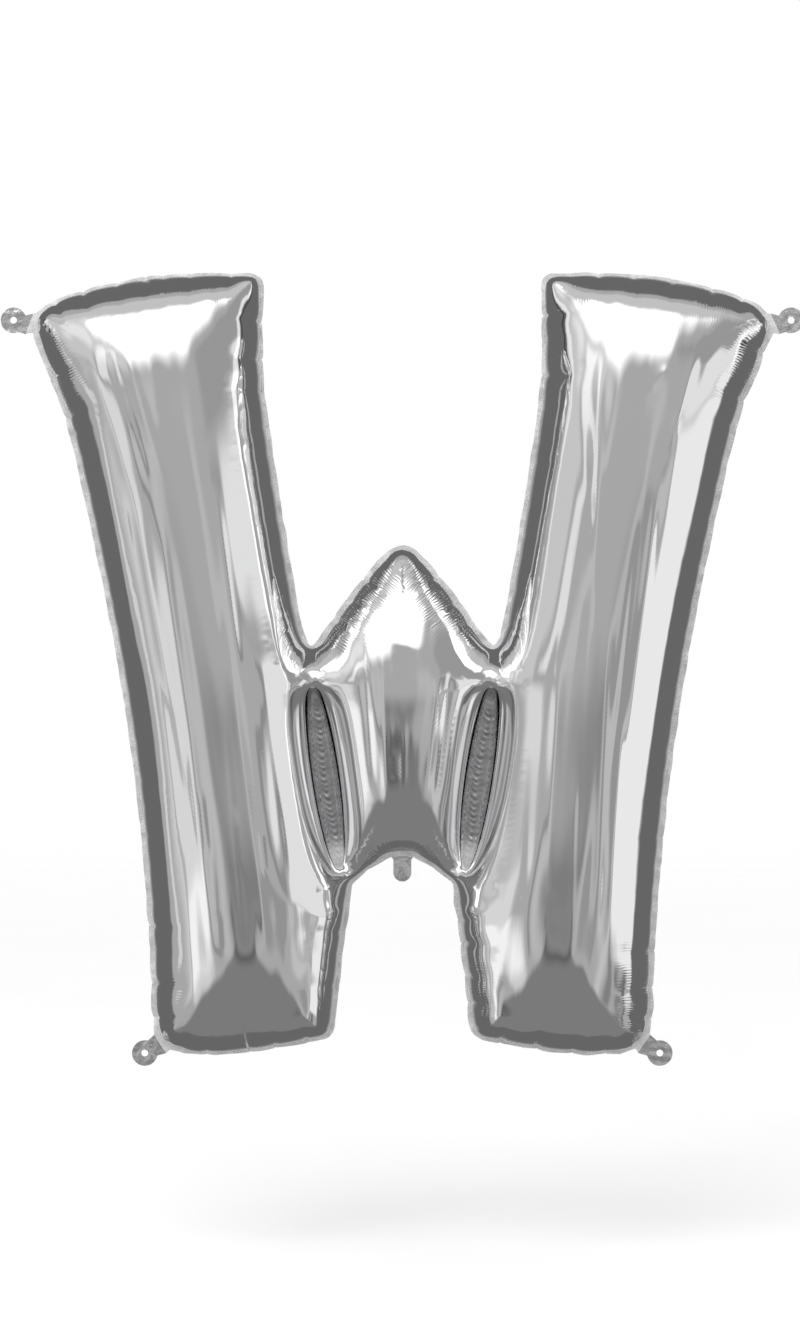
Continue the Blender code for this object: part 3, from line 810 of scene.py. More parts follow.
@dataclass
class Envelope:
    """The two inflated films, each a closed thin shell that stands on the weld."""

    weld: Weld
    finish: bpy.types.Material
    ring_depths: tuple = (0.3, 1.1, 2.4, 4.2, 6.5, 9.2, 12.1, 15.2, 18.4, 21.7, 25.1, 28.6, 32.2)
    grid_step: float = 2.7 * MM
    fullness: float = 0.93
    boldness: float = 1.7
    hipped_top: float = 0.16
    hipped_foot: float = 0.95
    end_radius: float = 52 * MM
    foot_radius: float = 112 * MM
    notch_sink: float = 0.50
    foot: float = 0.9 * MM
    inner_step: float = 16 * MM

    def flat_mesh(self) -> tuple[np.ndarray, np.ndarray, np.ndarray, np.ndarray]:
        """The even plan mesh: rings that crowd towards the weld, where the film stands upright, then a grid.

        Returns:
            The places, the triangles, and each place's nearest weld point and the distance to it.
        """
        weld = self.weld
        rings = []
        for depth in np.array(self.ring_depths) * MM:
            ring = weld.points - weld.normals * depth
            rings.append(ring[nearest(ring, weld.points)[1] > 0.97 * depth])
        rings = np.vstack(rings)
        rings = rings[np.sort(np.unique(np.round(rings / (1.3 * MM)), axis=0, return_index=True)[1])]
        rise = self.grid_step * math.sqrt(3) / 2
        reach = np.abs(weld.loops[0]).max(0)
        rows = np.arange(-int(reach[1] / rise), int(reach[1] / rise) + 1)
        columns = np.arange(-int(reach[0] / self.grid_step) - 1, int(reach[0] / self.grid_step) + 1)
        column, row = np.meshgrid(columns, rows)
        grid = np.column_stack([((column + (row % 2) / 2) * self.grid_step).ravel(), (row * rise).ravel()])
        index, gap = nearest(grid, weld.points)
        within = ((grid - weld.points[index]) * weld.normals[index]).sum(1) < 0
        grid = grid[within & (gap > self.ring_depths[-1] * MM + 0.55 * self.grid_step)]
        flat, triangles = triangulated(weld.loops[0], weld.loops[1:], np.vstack([rings, grid]))
        index, gap = nearest(flat, weld.points)
        return flat, triangles, index, gap

    def streaks(self, flat: np.ndarray) -> np.ndarray:
        """Long soft swells along each leg and the middle block, in metres of height.

        Each is a sine across the leg whose phase and size drift slowly along it.
        """
        x, z = flat.T
        leg_axis = 0.203 + 0.126 * z + 0.09 * z * z
        total = np.zeros(len(flat))
        draw = np.random.default_rng(5)
        for width, slope in ((78, 0.020), (52, 0.028), (34, 0.034), (23, 0.034), (15, 0.030)):
            for side in (-1, 1):
                across = side * x - leg_axis
                phase = draw.uniform(0, 2 * math.pi, 4)
                sway = 1.3 * np.sin(z / 0.11 + phase[0]) + 0.9 * np.sin(z / 0.063 + phase[1])
                size = 0.65 + 0.35 * np.sin(z / 0.09 + phase[2])
                wave = np.sin(across / (width * MM) * 2 * math.pi + phase[3] + sway)
                total += (x * side > 0) * slope * width * MM / (2 * math.pi) * size * wave
        return total

    def crown(self, flat: np.ndarray, triangles: np.ndarray, gap: np.ndarray) -> tuple[np.ndarray, np.ndarray]:
        """The inflated height: a membrane's, drawn towards a hipped roof of quarter circles at the ends.

        With u the membrane's deflection, a = sqrt(|grad u|^2 + 2u) is the local half width, and over a
        place at distance d from the weld the roof is sqrt(d(2a - d)). Both agree along a straight leg.

        Args:
            flat: the places.
            triangles: the triangles.
            gap: the distance from the weld.

        Returns:
            The height at each place, and the share of the way from the weld to the ridge.
        """
        sag = deflection(flat, triangles, self.weld.count)
        corner = flat[triangles]
        u, v = corner[:, 1] - corner[:, 0], corner[:, 2] - corner[:, 0]
        cross = u[:, 0] * v[:, 1] - u[:, 1] * v[:, 0]
        rise, climb = (sag[triangles[:, k]] - sag[triangles[:, 0]] for k in (1, 2))
        steep = np.stack([rise * v[:, 1] - climb * u[:, 1], climb * u[:, 0] - rise * v[:, 0]], axis=1)
        count = len(flat)
        share = sum(np.bincount(triangles[:, k], cross, count) for k in range(3))
        slope = np.stack([sum(np.bincount(triangles[:, k], steep[:, axis], count) for k in range(3)) / share
                          for axis in range(2)], axis=1)
        reach = np.maximum(np.sqrt((slope**2).sum(1) + 2 * sag), gap)
        z, edge = flat[:, 1], 1 - smoothstep(gap, 10 * MM, 44 * MM)
        full = smoothstep(z, 0.17, 0.27) * edge
        axis = 0.203 + 0.126 * z + 0.09 * z * z
        full_foot = smoothstep(-z, 0.222, 0.262) * smoothstep(axis - np.abs(flat[:, 0]), 0, 0.04)
        full_foot *= 1 - smoothstep(gap, 14 * MM, 78 * MM)
        ridge = reach
        reach = np.maximum(reach, self.end_radius * full + self.foot_radius * full_foot)
        hipped = smoothstep(z, 0.17, 0.27) * (self.hipped_top + (0.95 - self.hipped_top) * edge)
        hipped += smoothstep(-z, 0.265, 0.315) * self.hipped_foot
        hipped = np.maximum(hipped, 0.95 * full_foot)
        block = 1 - smoothstep(np.abs(flat[:, 0]), 0.062, 0.078)
        hipped += smoothstep(-z, 0.10, 0.135) * self.hipped_foot * block
        square = (1 - hipped) * 2 * sag + hipped * gap * (2 * reach - gap)
        a, b, weight = cotangents(flat, triangles)
        near = np.bincount(a, weight, count) + np.bincount(b, weight, count) + 1e-9
        soft = smoothstep(gap, 4 * MM, 14 * MM) * 0.7
        softer = smoothstep(gap, 26 * MM, 48 * MM) * 0.7
        for turn in range(84):
            pull = np.bincount(a, weight * square[b], count) + np.bincount(b, weight * square[a], count)
            square = square + (soft if turn < 24 else softer) * (pull / near - square)
        aside, above = np.abs(flat[:, 0]) - 0.1, flat[:, 1] - 0.022
        spread = np.where(aside > 0, 17 * MM, 30 * MM)
        sunk = self.notch_sink * np.exp(-((aside / spread) ** 2) - (above / (27 * MM)) ** 2)
        return self.fullness * (1 - sunk) * np.sqrt(np.maximum(square, 0)), gap / np.maximum(ridge, 1e-9)

    def folds(self, flat: np.ndarray) -> np.ndarray:
        """Long folds and dents: each a bell curve across its line, fading at both ends."""
        total = np.zeros(len(flat))
        for row in FOLDS_PX:
            start, end = ((np.array(row[k:k + 2]) - PHOTO_MIDDLE_PX) * PHOTO_MM_PER_PX * MM * (1, -1) for k in (0, 2))
            run = end - start
            length = np.linalg.norm(run)
            along = (flat - start) @ run / length**2
            across = (flat - start) @ np.array([run[1], -run[0]]) / length
            window = smoothstep(along, 0, 0.3) * smoothstep(1 - along, 0, 0.3)
            total += self.boldness * row[5] * MM * np.exp(-((across / (row[4] * MM)) ** 2)) * window
        return total

    def fans(self, flat: np.ndarray) -> np.ndarray:
        """Folds that fan out of a corner: |sin| of the polar angle, dying away along the radius."""
        total = np.zeros(len(flat))
        for x, y, heading, bend, spread, count, reach, height in FANS_PX:
            corner = (np.array([x, y]) - PHOTO_MIDDLE_PX) * PHOTO_MM_PER_PX * MM * (1, -1)
            out = flat - corner
            radius = np.linalg.norm(out, axis=1)
            turn = np.arctan2(out[:, 1], out[:, 0]) - math.radians(heading) - math.radians(bend) * radius / 0.1
            turn = ((turn + math.pi) % (2 * math.pi) - math.pi) / math.radians(spread)
            ridge = 0.6 - np.abs(np.sin(turn * count * math.pi / 2 + 0.7))
            fade = np.exp(-turn**4) * np.exp(-radius / (reach * MM)) * (1 - np.exp(-radius / (9 * MM)))
            total += height * MM * ridge * fade
        return total

    def outer_skin(self) -> tuple[np.ndarray, np.ndarray, np.ndarray, np.ndarray]:
        """The front film's outer face, with its creases.

        Returns:
            The vertices, the triangles, the weld UV places and the comb mask.
        """
        weld = self.weld
        flat, triangles, index, gap = self.flat_mesh()
        flat = weld.warped(flat, index, gap)
        at, gap = weld.measured(flat, index)
        gap[:weld.count] = 0
        height, climbed = self.crown(flat, triangles, gap)
        skin = np.column_stack([flat[:, 0], -height, flat[:, 1]])
        normal = vertex_normals(skin, triangles)
        climb = np.hypot(gap, height)
        outer = index < len(weld.loops[0])
        share, depth, away = weld.between(at)
        free = smoothstep(gap, 0.0, 6 * MM)
        strong = depth**2 / (2.2 * MM)
        crease = -0.40 * strong * np.exp(-((away / (2.2 * MM)) ** 2)) * np.exp(-climb / (15 * MM)) * outer
        crease += 0.12 * depth * np.sin(math.pi * share) * np.exp(-climb / (22 * MM)) * outer
        combed = weld.combed(at) * outer
        puckers = wavy(at, 9 * MM, 8) * 0.07 * MM * np.exp(-((climb - 22 * MM) / (24 * MM)) ** 2)
        rings = np.sin(climb / (7.6 * MM) * 2 * math.pi) * 0.26 * MM * np.exp(-climb / (28 * MM)) * ~outer
        swell = (self.streaks(flat) + self.folds(flat)) * smoothstep(gap, 4 * MM, 24 * MM)
        calm = 1 - smoothstep(climbed, 0.55, 0.85)
        move = ((crease + puckers * (0.3 + combed) * outer + rings) * calm + self.fans(flat)) * free + swell
        skin[:, 1] -= 0.75 * MM
        skin += normal * move[:, None]
        comb = np.exp(-((climb - 30 * MM) / (22 * MM)) ** 2) * np.clip(combed - 0.05, 0, 1) * outer * calm
        return skin, triangles, np.column_stack([at, climb]), comb

    def inner_skin(self) -> tuple[np.ndarray, np.ndarray]:
        """The film's inner face: the same loops a little further in, under a plain, lower bulge."""
        weld = self.weld
        index = np.arange(weld.count)
        rim = weld.warped(weld.points, index, np.zeros(weld.count)) - weld.normals * self.foot
        starts = np.cumsum([0] + [len(loop) for loop in weld.loops])
        loops = [rim[a:b] for a, b in zip(starts, starts[1:])]
        axis_x = np.arange(-0.42, 0.42, self.inner_step)
        grid = np.array(np.meshgrid(axis_x, axis_x)).reshape(2, -1).T
        index, gap = nearest(grid, rim)
        within = ((grid - rim[index]) * weld.normals[index]).sum(1) < 0
        grid = grid[within & (gap > self.inner_step * 0.7)]
        flat, triangles = triangulated(loops[0], loops[1:], grid)
        height = self.fullness * 0.93 * np.sqrt(2 * deflection(flat, triangles, weld.count))
        return np.column_stack([flat[:, 0], -height - 0.75 * MM, flat[:, 1]]), triangles

    def film(self, side: Side) -> bpy.types.Object:
        """One film as a closed shell: outer skin, inner skin and the narrow foot between their edges."""
        outer, triangles, weld_place, comb = self.skins[0]
        inner, lining = self.skins[1]
        count, start, foot = len(outer), 0, []
        for loop in self.weld.loops:
            a = start + np.arange(len(loop))
            b = start + (np.arange(len(loop)) + 1) % len(loop)
            if start:
                a, b = b, a
            foot += [np.column_stack([a, a + count, b]), np.column_stack([b, a + count, b + count])]
            start += len(loop)
        points = np.vstack([outer, inner])
        faces = np.vstack([triangles, lining[:, ::-1] + count, *foot])
        if side is Side.BACK:
            points = points * (1, -1, 1)
            faces = faces[:, ::-1]
        name = f"{side.name.lower()}_film"
        piece = mesh_object(f"{name}_skin", points, faces, self.finish, 50)
        blank = np.zeros((len(inner), 2))
        uv_map(piece, "weld", np.vstack([weld_place, blank]))
        point_attribute(piece, "comb", np.concatenate([comb, blank[:, 0]]))
        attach(piece, "envelope")
        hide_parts(name)
        return piece

    def build(self) -> list[bpy.types.Object]:
        """Both films, made from one pair of skins."""
        self.skins = (self.outer_skin(), self.inner_skin())
        return [self.film(side) for side in Side]


@dataclass
class WeldBand:
    """The flat quilted band outside the weld line, scalloped with it."""

    weld: Weld
    finish: bpy.types.Material
    thickness: float = 0.8 * MM
    under: float = 2.0 * MM
    step: float = 2.0 * MM

    def build(self) -> bpy.types.Object:
        """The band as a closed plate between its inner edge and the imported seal's outer edge."""
        weld = self.weld
        rim = weld.loops[0]
        normals = weld.normals[:len(rim)]
        inner = rim - normals * self.under
        edge = resampled(foot_loops("edge_seal")[0], self.step)
        rings = [rim + normals * lift for lift in (0.0, 1.7 * MM, 3.4 * MM, 5.0 * MM)]
        extra = np.vstack([ring[inside(ring, edge)] for ring in rings])
        extra = extra[nearest(extra, edge)[1] > 0.8 * MM]
        flat, triangles = triangulated(edge, [inner], extra)
        index, gap = nearest(flat, rim)
        at = weld.at[index]
        out = inside(flat, rim)
        reach = np.where(out, 0, gap)
        sway = wavy(at, 46 * MM, 31) * 0.16 + wavy(at, 19 * MM, 32) * 0.10
        still = np.ones(len(flat))
        for place in root_places():
            still *= smoothstep(np.linalg.norm(flat - place, axis=1), 16 * MM, 30 * MM)
        y = reach * sway * still
        flat = weld.warped(flat, index, gap * still)
        half = self.thickness / 2
        points, faces = plate(flat, triangles, [len(edge), len(inner)], y - half, y + half)
        piece = mesh_object("weld_band", points, faces, self.finish, 60)
        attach(piece, "envelope")
        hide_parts("edge_seal")
        return piece


def root_places() -> list[np.ndarray]:
    """The (x, z) place of every joint, where a tab or the neck leaves the band."""
    return [np.array(joint["pos_m"])[[0, 2]] for joint in frame["joints"]]


@dataclass
class SlitWeld:
    """The leaf-shaped weld between a leg and the middle, knurled down its middle."""

    weld: Weld
    finish: bpy.types.Material
    half: float = 0.4 * MM
    step: float = 1.6 * MM
    border: float = 2.0 * MM

    def build(self, node: str) -> bpy.types.Object:
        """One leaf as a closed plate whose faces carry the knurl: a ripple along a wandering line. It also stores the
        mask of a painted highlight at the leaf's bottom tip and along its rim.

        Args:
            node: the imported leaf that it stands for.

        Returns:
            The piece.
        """
        outline = rounded(foot_loops(node)[0], self.step)
        low, high = outline.min(0), outline.max(0)
        xs, zs = np.arange(low[0], high[0], self.step), np.arange(low[1], high[1], self.step)
        grid = np.array(np.meshgrid(xs, zs)).reshape(2, -1).T
        grid = grid[inside(grid, outline)]
        grid = grid[nearest(grid, outline)[1] > 0.9 * self.step]
        flat, triangles = triangulated(outline, [], grid)
        foot, head = flat[flat[:, 1].argmin()], flat[flat[:, 1].argmax()]
        ahead = (head - foot) / np.linalg.norm(head - foot)
        along = (flat - foot) @ ahead
        across = (flat - foot) @ np.array([ahead[1], -ahead[0]])
        edge = nearest(flat, outline)[1]
        middle = smoothstep(edge, 6 * MM, 9 * MM)
        bend = across - 1.3 * MM * np.sin(along / (21 * MM)) - 0.7 * MM * wavy(along, 13 * MM, 47)
        drift = 1.1 * wavy(along, 31 * MM, 46)
        chevron = np.sin(along / (6.4 * MM) * 2 * math.pi + drift + 1.6 * np.cos(bend / (1.6 * MM)))
        knurl = np.exp(-((bend / (3.2 * MM)) ** 2)) * chevron * (0.55 + 0.4 * wavy(along, 14 * MM, 43))
        ripple = 0.05 * MM * wavy(along + 0.4 * across, 3.4 * MM, 44) + 0.12 * MM * wavy(across, 4.6 * MM, 45)
        relief = middle * (0.95 * MM * knurl + ripple)
        points, faces = plate(flat, triangles, [len(outline)], relief - self.half, relief + self.half)
        piece = mesh_object(node.replace("_seal", "_weld"), points, faces, self.finish, 60)
        # The mask of the painted highlight: full at the leaf's bottom tip and three quarters along its rim.
        rim = smoothstep(np.abs(across) / (np.abs(across) + edge), 0.43, 0.56)
        tip_highlight_mask = np.maximum(1 - smoothstep(along, 16 * MM, 44 * MM), 0.75 * rim)
        point_attribute(piece, "tip_highlight_mask", np.concatenate([tip_highlight_mask, tip_highlight_mask]))
        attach(piece, "envelope")
        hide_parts(node)
        return piece


@dataclass
class HangingTab:
    """A hanging tab: a round crinkled end with a punched eye, on a root that flexes."""

    finish: bpy.types.Material
    half: float = 0.35 * MM
    step: float = 1.0 * MM
    tuck: float = 1.3 * MM

    def build(self, node: str, joint: dict) -> bpy.types.Object:
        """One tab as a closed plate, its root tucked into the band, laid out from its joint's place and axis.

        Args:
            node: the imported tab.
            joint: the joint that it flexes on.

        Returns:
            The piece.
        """
        outline, eye = foot_loops(node)[:2]
        pivot = np.array(joint["pos_m"])[[0, 2]]
        out = eye.mean(0) - pivot
        axis = np.array(joint["axis"])[[0, 2]]
        out -= axis * (out @ axis) / (axis @ axis)
        out /= np.linalg.norm(out)
        outline = resampled(outline, self.step)
        eye = rounded(eye, 0.7 * MM)
        beyond = (outline - pivot) @ out
        root = np.exp(-((beyond - beyond.min()) / (0.6 * MM)) ** 2)
        outline = outline - out * (self.tuck * root)[:, None]
        low, high = outline.min(0), outline.max(0)
        grid = np.array(np.meshgrid(np.arange(low[0], high[0], self.step),
                                    np.arange(low[1], high[1], self.step))).reshape(2, -1).T
        grid = grid[inside(grid, outline) & ~inside(grid, eye)]
        grid = grid[nearest(grid, np.vstack([outline, eye]))[1] > 0.6 * self.step]
        flat, triangles = triangulated(outline, [eye], grid)
        reach = (flat - pivot) @ out
        side = (flat - pivot) @ np.array([out[1], -out[0]])
        far = smoothstep(reach, 0, 9 * MM)
        crinkle = wavy(side + 0.5 * reach, 13 * MM, 51) * 0.20 + wavy(reach, 16 * MM, 52) * 0.20
        y = far * crinkle * MM
        points, faces = plate(flat, triangles, [len(outline), len(eye)], y - self.half, y + self.half)
        piece = mesh_object(node + "_foil", points, faces, self.finish, 60)
        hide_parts(node)
        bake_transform(piece)
        return piece


@dataclass
class FillingNeck:
    """The flat filling neck: a tube of film pressed flat, open at its round end, with the valve in it."""

    finish: bpy.types.Material
    sleeve_finish: bpy.types.Material
    wall: float = 0.3 * MM
    rows: int = 40
    around: int = 64

    def tube(self, width: np.ndarray, bulge: np.ndarray, z: np.ndarray, inset: float) -> np.ndarray:
        """Rings of a flattened tube: x = w cos a, y = b sin a |sin a|^0.3, one ring for each row.

        Args:
            width: half width of each ring.
            bulge: half thickness of each ring.
            z: height of each ring.
            inset: how far the ring is drawn in for the inner wall.

        Returns:
            The vertices, ring by ring.
        """
        angle = np.linspace(0, 2 * math.pi, self.around, endpoint=False)[None]
        x = (width[:, None] - inset) * np.cos(angle)
        y = (bulge[:, None] - inset) * np.sign(np.sin(angle)) * np.abs(np.sin(angle)) ** 0.7
        return np.stack([x, y, np.broadcast_to(z[:, None], x.shape)], axis=-1)

    def strip(self, first: int, second: int) -> np.ndarray:
        """Triangles between two rings that start at the given vertices."""
        n = self.around
        a, b = first + np.arange(n), first + (np.arange(n) + 1) % n
        c, d = second + np.arange(n), second + (np.arange(n) + 1) % n
        return np.vstack([np.column_stack([a, c, b]), np.column_stack([b, c, d])])

    def closed_tube(self, outer: np.ndarray, inner: np.ndarray) -> tuple[np.ndarray, np.ndarray]:
        """A tube with a wall, shut at its first ring and open at its last."""
        n, rows = self.around, len(outer)
        deep = len(inner)
        points = np.vstack([outer.reshape(-1, 3), inner.reshape(-1, 3), outer[0].mean(0), inner[0].mean(0)])
        base = rows * n
        faces = [self.strip(k * n, (k + 1) * n) for k in range(rows - 1)]
        faces += [self.strip(base + k * n, base + (k + 1) * n)[:, ::-1] for k in range(deep - 1)]
        faces.append(self.strip((rows - 1) * n, base + (deep - 1) * n))
        ring, turn = np.arange(n), (np.arange(n) + 1) % n
        faces.append(np.column_stack([np.full(n, base + deep * n), ring, turn]))
        faces.append(np.column_stack([np.full(n, base + deep * n + 1), base + turn, base + ring]))
        return points, np.vstack(faces)

    def build(self, joint: dict) -> list[bpy.types.Object]:
        """The neck and its sleeve; the sleeve hangs on the child body of the joint where the neck leaves the band.

        Args:
            joint: the neck's joint.

        Returns:
            The two pieces.
        """
        low, high = (np.array(corner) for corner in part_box("filling_neck"))
        half = high[0]
        t = np.linspace(0, 1, self.rows)
        z = high[2] + 1.2 * MM - (high[2] + 1.2 * MM - low[2]) * t
        from_end = z - low[2]
        width = half * np.sqrt(np.clip(1 - np.clip(1 - from_end / half, 0, 1) ** 2, 0.09, 1))
        flare = 2.2 * MM * smoothstep(z, high[2] - 3 * MM, high[2] + 1.2 * MM)
        bulge = 0.45 * MM + 0.6 * MM * smoothstep(t, 0.1, 0.5) * (1 - 0.5 * smoothstep(t, 0.8, 1))
        outer = self.tube(width + flare, bulge, z, 0.0)
        inner = self.tube(width + flare, bulge, z, self.wall)[6:]
        wave = 0.35 * MM * np.sin(outer[..., 2] / (5.5 * MM) + outer[..., 0] / (3.1 * MM)) * smoothstep(t, 0.15, 0.5)[:, None]
        outer[..., 1] += wave
        inner[..., 1] += wave[6:]
        points, faces = self.closed_tube(outer, inner)
        neck = mesh_object("neck_foil", points, faces, self.finish, 60)
        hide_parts("filling_neck")
        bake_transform(neck)
        low, high = (np.array(corner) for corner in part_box("valve_sleeve"))
        z = np.linspace(high[2], low[2], self.rows)
        flat = np.full(self.rows, (high[1] - low[1]) / 2)
        sleeve_outer = self.tube(np.full(self.rows, high[0]), flat, z, 0.0)
        sleeve_inner = self.tube(np.full(self.rows, high[0]), flat, z, 0.08 * MM)[4:]
        bend = 0.35 * MM * np.sin(z / (5.5 * MM)) * smoothstep(np.linspace(0, 1, self.rows), 0.2, 0.6)
        sleeve_outer[..., 1] += bend[:, None]
        sleeve_inner[..., 1] += bend[4:, None]
        points, faces = self.closed_tube(sleeve_outer, sleeve_inner)
        sleeve = mesh_object("valve_film", points, faces, self.sleeve_finish, 60)
        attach(sleeve, joint["child"])
        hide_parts("valve_sleeve")
        return [neck, sleeve]


class Wall(Enum):
    """The wall of the studio that a light panel's roll is measured from."""

    RIGHT = 1
    LEFT = -1


@dataclass(frozen=True)
class Panel:
    """A soft-edged patch of light or shade on the studio's inside, named by the angles of its four edges.

    Turn is the angle from the way to the camera, and roll is the angle up from the wall's own side.
    Each lists where the patch starts, is full, is still full and ends, in degrees.
    """

    wall: Wall
    roll: tuple
    turn: tuple
    power: float


PANELS = (
    Panel(Wall.RIGHT, (48, 66, 128, 146), (25, 38, 64, 70), 1.0),
    Panel(Wall.RIGHT, (40, 60, 132, 152), (62, 68, 84, 89), 0.16),
    Panel(Wall.RIGHT, (-142, -132, -48, -38), (12, 20, 94, 98), -0.20),
    Panel(Wall.RIGHT, (-18, -14, -4, -2), (54, 57, 92, 95), 0.46),
    Panel(Wall.RIGHT, (-34, -24, -6, -3), (27, 30, 41, 43), -0.10),
    Panel(Wall.RIGHT, (-20, -12, -6, -3), (43, 45, 50, 53), 0.10),
    Panel(Wall.RIGHT, (-4, -1, 13, 17), (47, 51, 87, 93), 0.38),
    Panel(Wall.RIGHT, (-3, 0, 30, 38), (82, 84, 89, 91), 0.40),
    Panel(Wall.RIGHT, (-3, 0, 13, 17), (41, 43, 45, 47), -0.13),
    Panel(Wall.RIGHT, (16, 19, 40, 48), (38, 46, 78, 86), -0.08),
    Panel(Wall.RIGHT, (1, 3, 30, 38), (91, 92, 95, 98), -0.30),
    Panel(Wall.LEFT, (-34, -24, 3, 8), (42, 50, 60, 80), 0.30),
    Panel(Wall.LEFT, (-34, -24, -3, 0), (62, 63, 65, 66), -0.22),
    Panel(Wall.LEFT, (-16, -13, -6, -3), (78, 80, 84, 86), 0.25),
    Panel(Wall.LEFT, (-44, -34, -14, -10), (40, 46, 60, 66), 0.24),
    Panel(Wall.LEFT, (-34, -24, 3, 8), (33, 35, 37, 39), -0.12),
    Panel(Wall.LEFT, (16, 28, 48, 60), (34, 42, 68, 80), 0.24),
    Panel(Wall.LEFT, (5, 9, 30, 38), (54, 62, 86, 92), 0.18),
    Panel(Wall.LEFT, (8, 12, 30, 38), (44, 47, 50, 54), 0.36),
    Panel(Wall.LEFT, (5, 9, 30, 38), (82, 84, 89, 91), 0.26),
    Panel(Wall.LEFT, (1, 3, 30, 38), (91, 92, 95, 98), -0.30),
    Panel(Wall.RIGHT, (-46, -36, -19, -14), (46, 51, 53, 58), 0.14),
    Panel(Wall.RIGHT, (-46, -36, -19, -14), (57, 61, 63, 67), -0.18),
    Panel(Wall.RIGHT, (-46, -36, -19, -14), (67, 71, 76, 80), -0.24),
    Panel(Wall.RIGHT, (-60, -20, 20, 60), (14, 20, 23, 30), 0.08),
    Panel(Wall.LEFT, (-60, -20, 20, 60), (17, 24, 28, 36), 0.10),
)


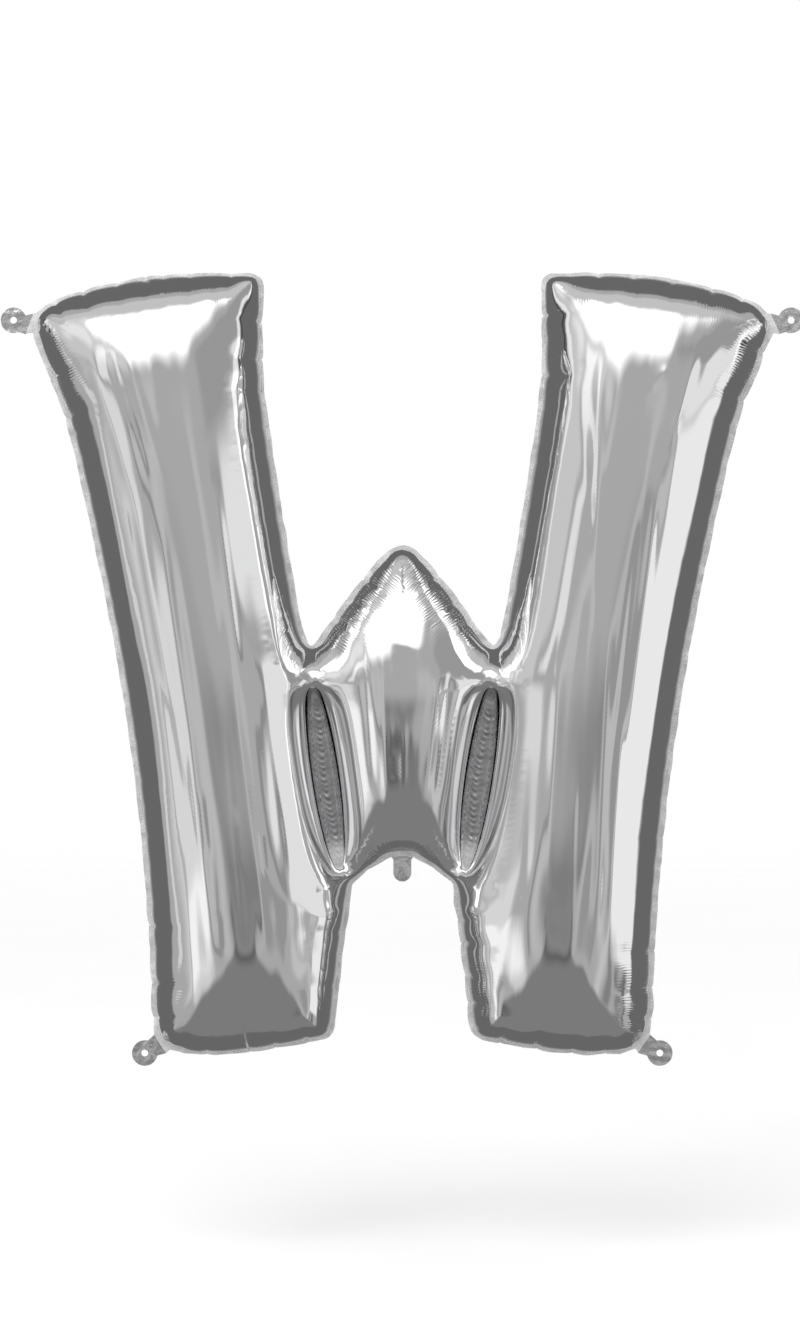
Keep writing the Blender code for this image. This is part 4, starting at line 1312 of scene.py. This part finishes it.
@dataclass
class Studio:
    """Camera, floor and soft light: a pale cove in which the mirror film sees grey walls and light boxes."""

    distance: float = 3.6
    sensor: float = 36.0
    floor_drop: float = 0.20
    grey: float = 0.41
    shade: float = 0.19
    behind: float = 0.14

    def camera(self) -> None:
        """A long lens, level with the letter's middle, framed as the photograph is."""
        data = bpy.data.cameras.new("camera")
        made = bpy.data.objects.new("camera", data)
        bpy.context.scene.collection.objects.link(made)
        width = PHOTO_WIDTH_PX * PHOTO_MM_PER_PX * MM
        x = (PHOTO_WIDTH_PX / 2 - PHOTO_MIDDLE_PX[0]) * PHOTO_MM_PER_PX * MM
        z = (PHOTO_MIDDLE_PX[1] - PHOTO_HEIGHT_PX / 2) * PHOTO_MM_PER_PX * MM
        made.location = (x, -self.distance, z)
        made.rotation_euler = (math.pi / 2, 0, 0)
        data.sensor_fit = "HORIZONTAL"
        data.sensor_width = self.sensor
        data.lens = self.sensor * self.distance / width
        data.clip_end = 100
        bpy.context.scene.camera = made

    def softbox(self) -> None:
        """One large lamp high in front, for a soft shadow; the films don't mirror it."""
        data = bpy.data.lights.new("softbox", "AREA")
        data.shape, data.size, data.energy = "SQUARE", 2.4, 40.0
        lamp = bpy.data.objects.new("softbox", data)
        lamp.location, lamp.rotation_euler = (-1.2, -2.2, 2.6), (math.radians(42), 0, math.radians(-28))
        lamp.visible_glossy = False
        bpy.context.scene.collection.objects.link(lamp)

    def floor(self) -> None:
        """The pale floor, a little below the letter, which fades into the white cove far out."""
        z = CAD_BOX[0][2] - self.floor_drop
        rim = 12.0
        points = np.array([(-rim, -rim, z), (rim, -rim, z), (rim, rim, z), (-rim, rim, z)])
        made, nodes, shader = new_material("pale_floor")
        place = nodes.add("TexCoord").outputs["Object"]
        axes = nodes.add("SeparateXYZ", i0=place).outputs
        out = nodes.math("SQRT", nodes.math("ADD", nodes.math("POWER", axes[0], 2.0), nodes.math("POWER", axes[1], 2.0)))
        made.node_tree.links.new(nodes.ramp(out, 1.2, rim * 0.8, 1.0, 0.0), shader.inputs["Alpha"])
        grain = nodes.add("TexNoise", Vector=place, Scale=3.0).outputs["Fac"]
        made.node_tree.links.new(nodes.ramp(grain, 0.2, 0.8, 0.75, 0.95), shader.inputs["Roughness"])
        shader.inputs["Base Color"].default_value = (0.96, 0.96, 0.96, 1)
        shader.inputs["Specular IOR Level"].default_value = 0.1
        floor = mesh_object("floor", points, np.array([(0, 1, 2), (0, 2, 3)]), made)
        floor.visible_glossy = False

    def window(self, nodes: Nodes, angle: bpy.types.NodeSocket, edges: tuple) -> bpy.types.NodeSocket:
        """1 between the two middle angles of four, fading to 0 at the outer ones."""
        a, b, c, d = (math.radians(edge) for edge in edges)
        return nodes.math("MULTIPLY", nodes.ramp(angle, a, b), nodes.ramp(angle, c, d, 1.0, 0.0))

    def world(self) -> None:
        """White to the camera and to matt surfaces; grey walls and light panels to what is reflected."""
        made = bpy.data.worlds.new("studio")
        bpy.context.scene.world = made
        made.use_nodes = True
        made.node_tree.nodes.clear()
        nodes = Nodes(made.node_tree)
        axes = nodes.add("SeparateXYZ", i0=nodes.add("TexCoord").outputs["Generated"]).outputs
        turn = nodes.math("ARCCOSINE", nodes.math("MULTIPLY", axes[1], -1.0))
        roll = {
            Wall.RIGHT: nodes.math("ARCTAN2", axes[2], axes[0]),
            Wall.LEFT: nodes.math("ARCTAN2", axes[2], nodes.math("MULTIPLY", axes[0], -1.0)),
        }
        low = nodes.ramp(axes[2], -0.11, 0.05, 1.0, 0.0)
        middle = nodes.ramp(turn, math.radians(8), math.radians(29), 1.0, 0.0)
        shade = nodes.math("MULTIPLY", nodes.math("MULTIPLY", low, middle), -self.shade)
        back = nodes.ramp(turn, math.radians(94), math.radians(98))
        total = nodes.math("ADD", shade, self.grey)
        total = nodes.math("MULTIPLY", total, nodes.math("SUBTRACT", 1.0, back))
        total = nodes.math("MULTIPLY_ADD", back, self.behind, total)
        total = nodes.math("ADD", total, nodes.ramp(turn, math.radians(140), math.radians(157), 0.0, 0.28))
        for panel in PANELS:
            patch = nodes.math("MULTIPLY", self.window(nodes, roll[panel.wall], panel.roll),
                               self.window(nodes, turn, panel.turn))
            total = nodes.math("MULTIPLY_ADD", patch, panel.power, total)
        seen = nodes.add("Background", Strength=nodes.math("MAXIMUM", total, 0.02))
        white = nodes.add("Background", Strength=1.0)
        path = nodes.add("LightPath").outputs["Is Glossy Ray"]
        mixed = nodes.add("MixShader", i0=path, i1=white.outputs[0], i2=seen.outputs[0])
        nodes.add("OutputWorld", i0=mixed.outputs[0])
        for background in (seen, white):
            background.inputs["Color"].default_value = (1, 1, 1, 1)

    def build(self) -> None:
        """The camera, the lamp, the floor, the world and the plain view of colours."""
        self.camera()
        self.softbox()
        self.floor()
        self.world()
        bpy.context.scene.view_settings.view_transform = "Standard"


def main() -> None:
    """Builds each sub-assembly in order and reports it."""
    logging.basicConfig(level=logging.INFO, format="%(name)s: %(message)s")
    film, sealed, plastic = FilmFinish().material(), WeldFinish().material(), ValveFinish().material()
    # The slit welds' film, with a painted highlight at each leaf's bottom tip and rim.
    pressed = WeldFinish("slit_foil", (0.62, 0.62, 0.63, 1.0), (0.48, 0.48, 0.49, 1.0), 0.20, 1.0, 0.05 * MM, 0.12 * MM,
                          painted_tip_highlight=True).material()
    crinkled = WeldFinish("tab_foil", (0.86, 0.86, 0.87, 1.0), (0.72, 0.72, 0.73, 1.0), 0.16, 0.95, 0.04 * MM, 1.1 * MM).material()
    joints = {joint["name"]: joint for joint in frame["joints"]}
    Studio().build()
    weld = Weld()
    made = Envelope(weld, film).build()
    made.append(WeldBand(weld, sealed).build())
    for node in ("left_slit_seal", "right_slit_seal"):
        made.append(SlitWeld(weld, pressed).build(node))
    for level in ("top", "bottom"):
        for side in ("left", "right"):
            joint = joints[f"{level}_{side}_tab_flex"]
            made.append(HangingTab(crinkled).build(f"tab_{level}_{side}", joint))
    made += FillingNeck(crinkled, plastic).build(joints["neck_flex"])
    for piece in made:
        LOG.info("%s: %d triangles", piece.name, len(piece.data.polygons))


if __name__ == "__main__":
    main()
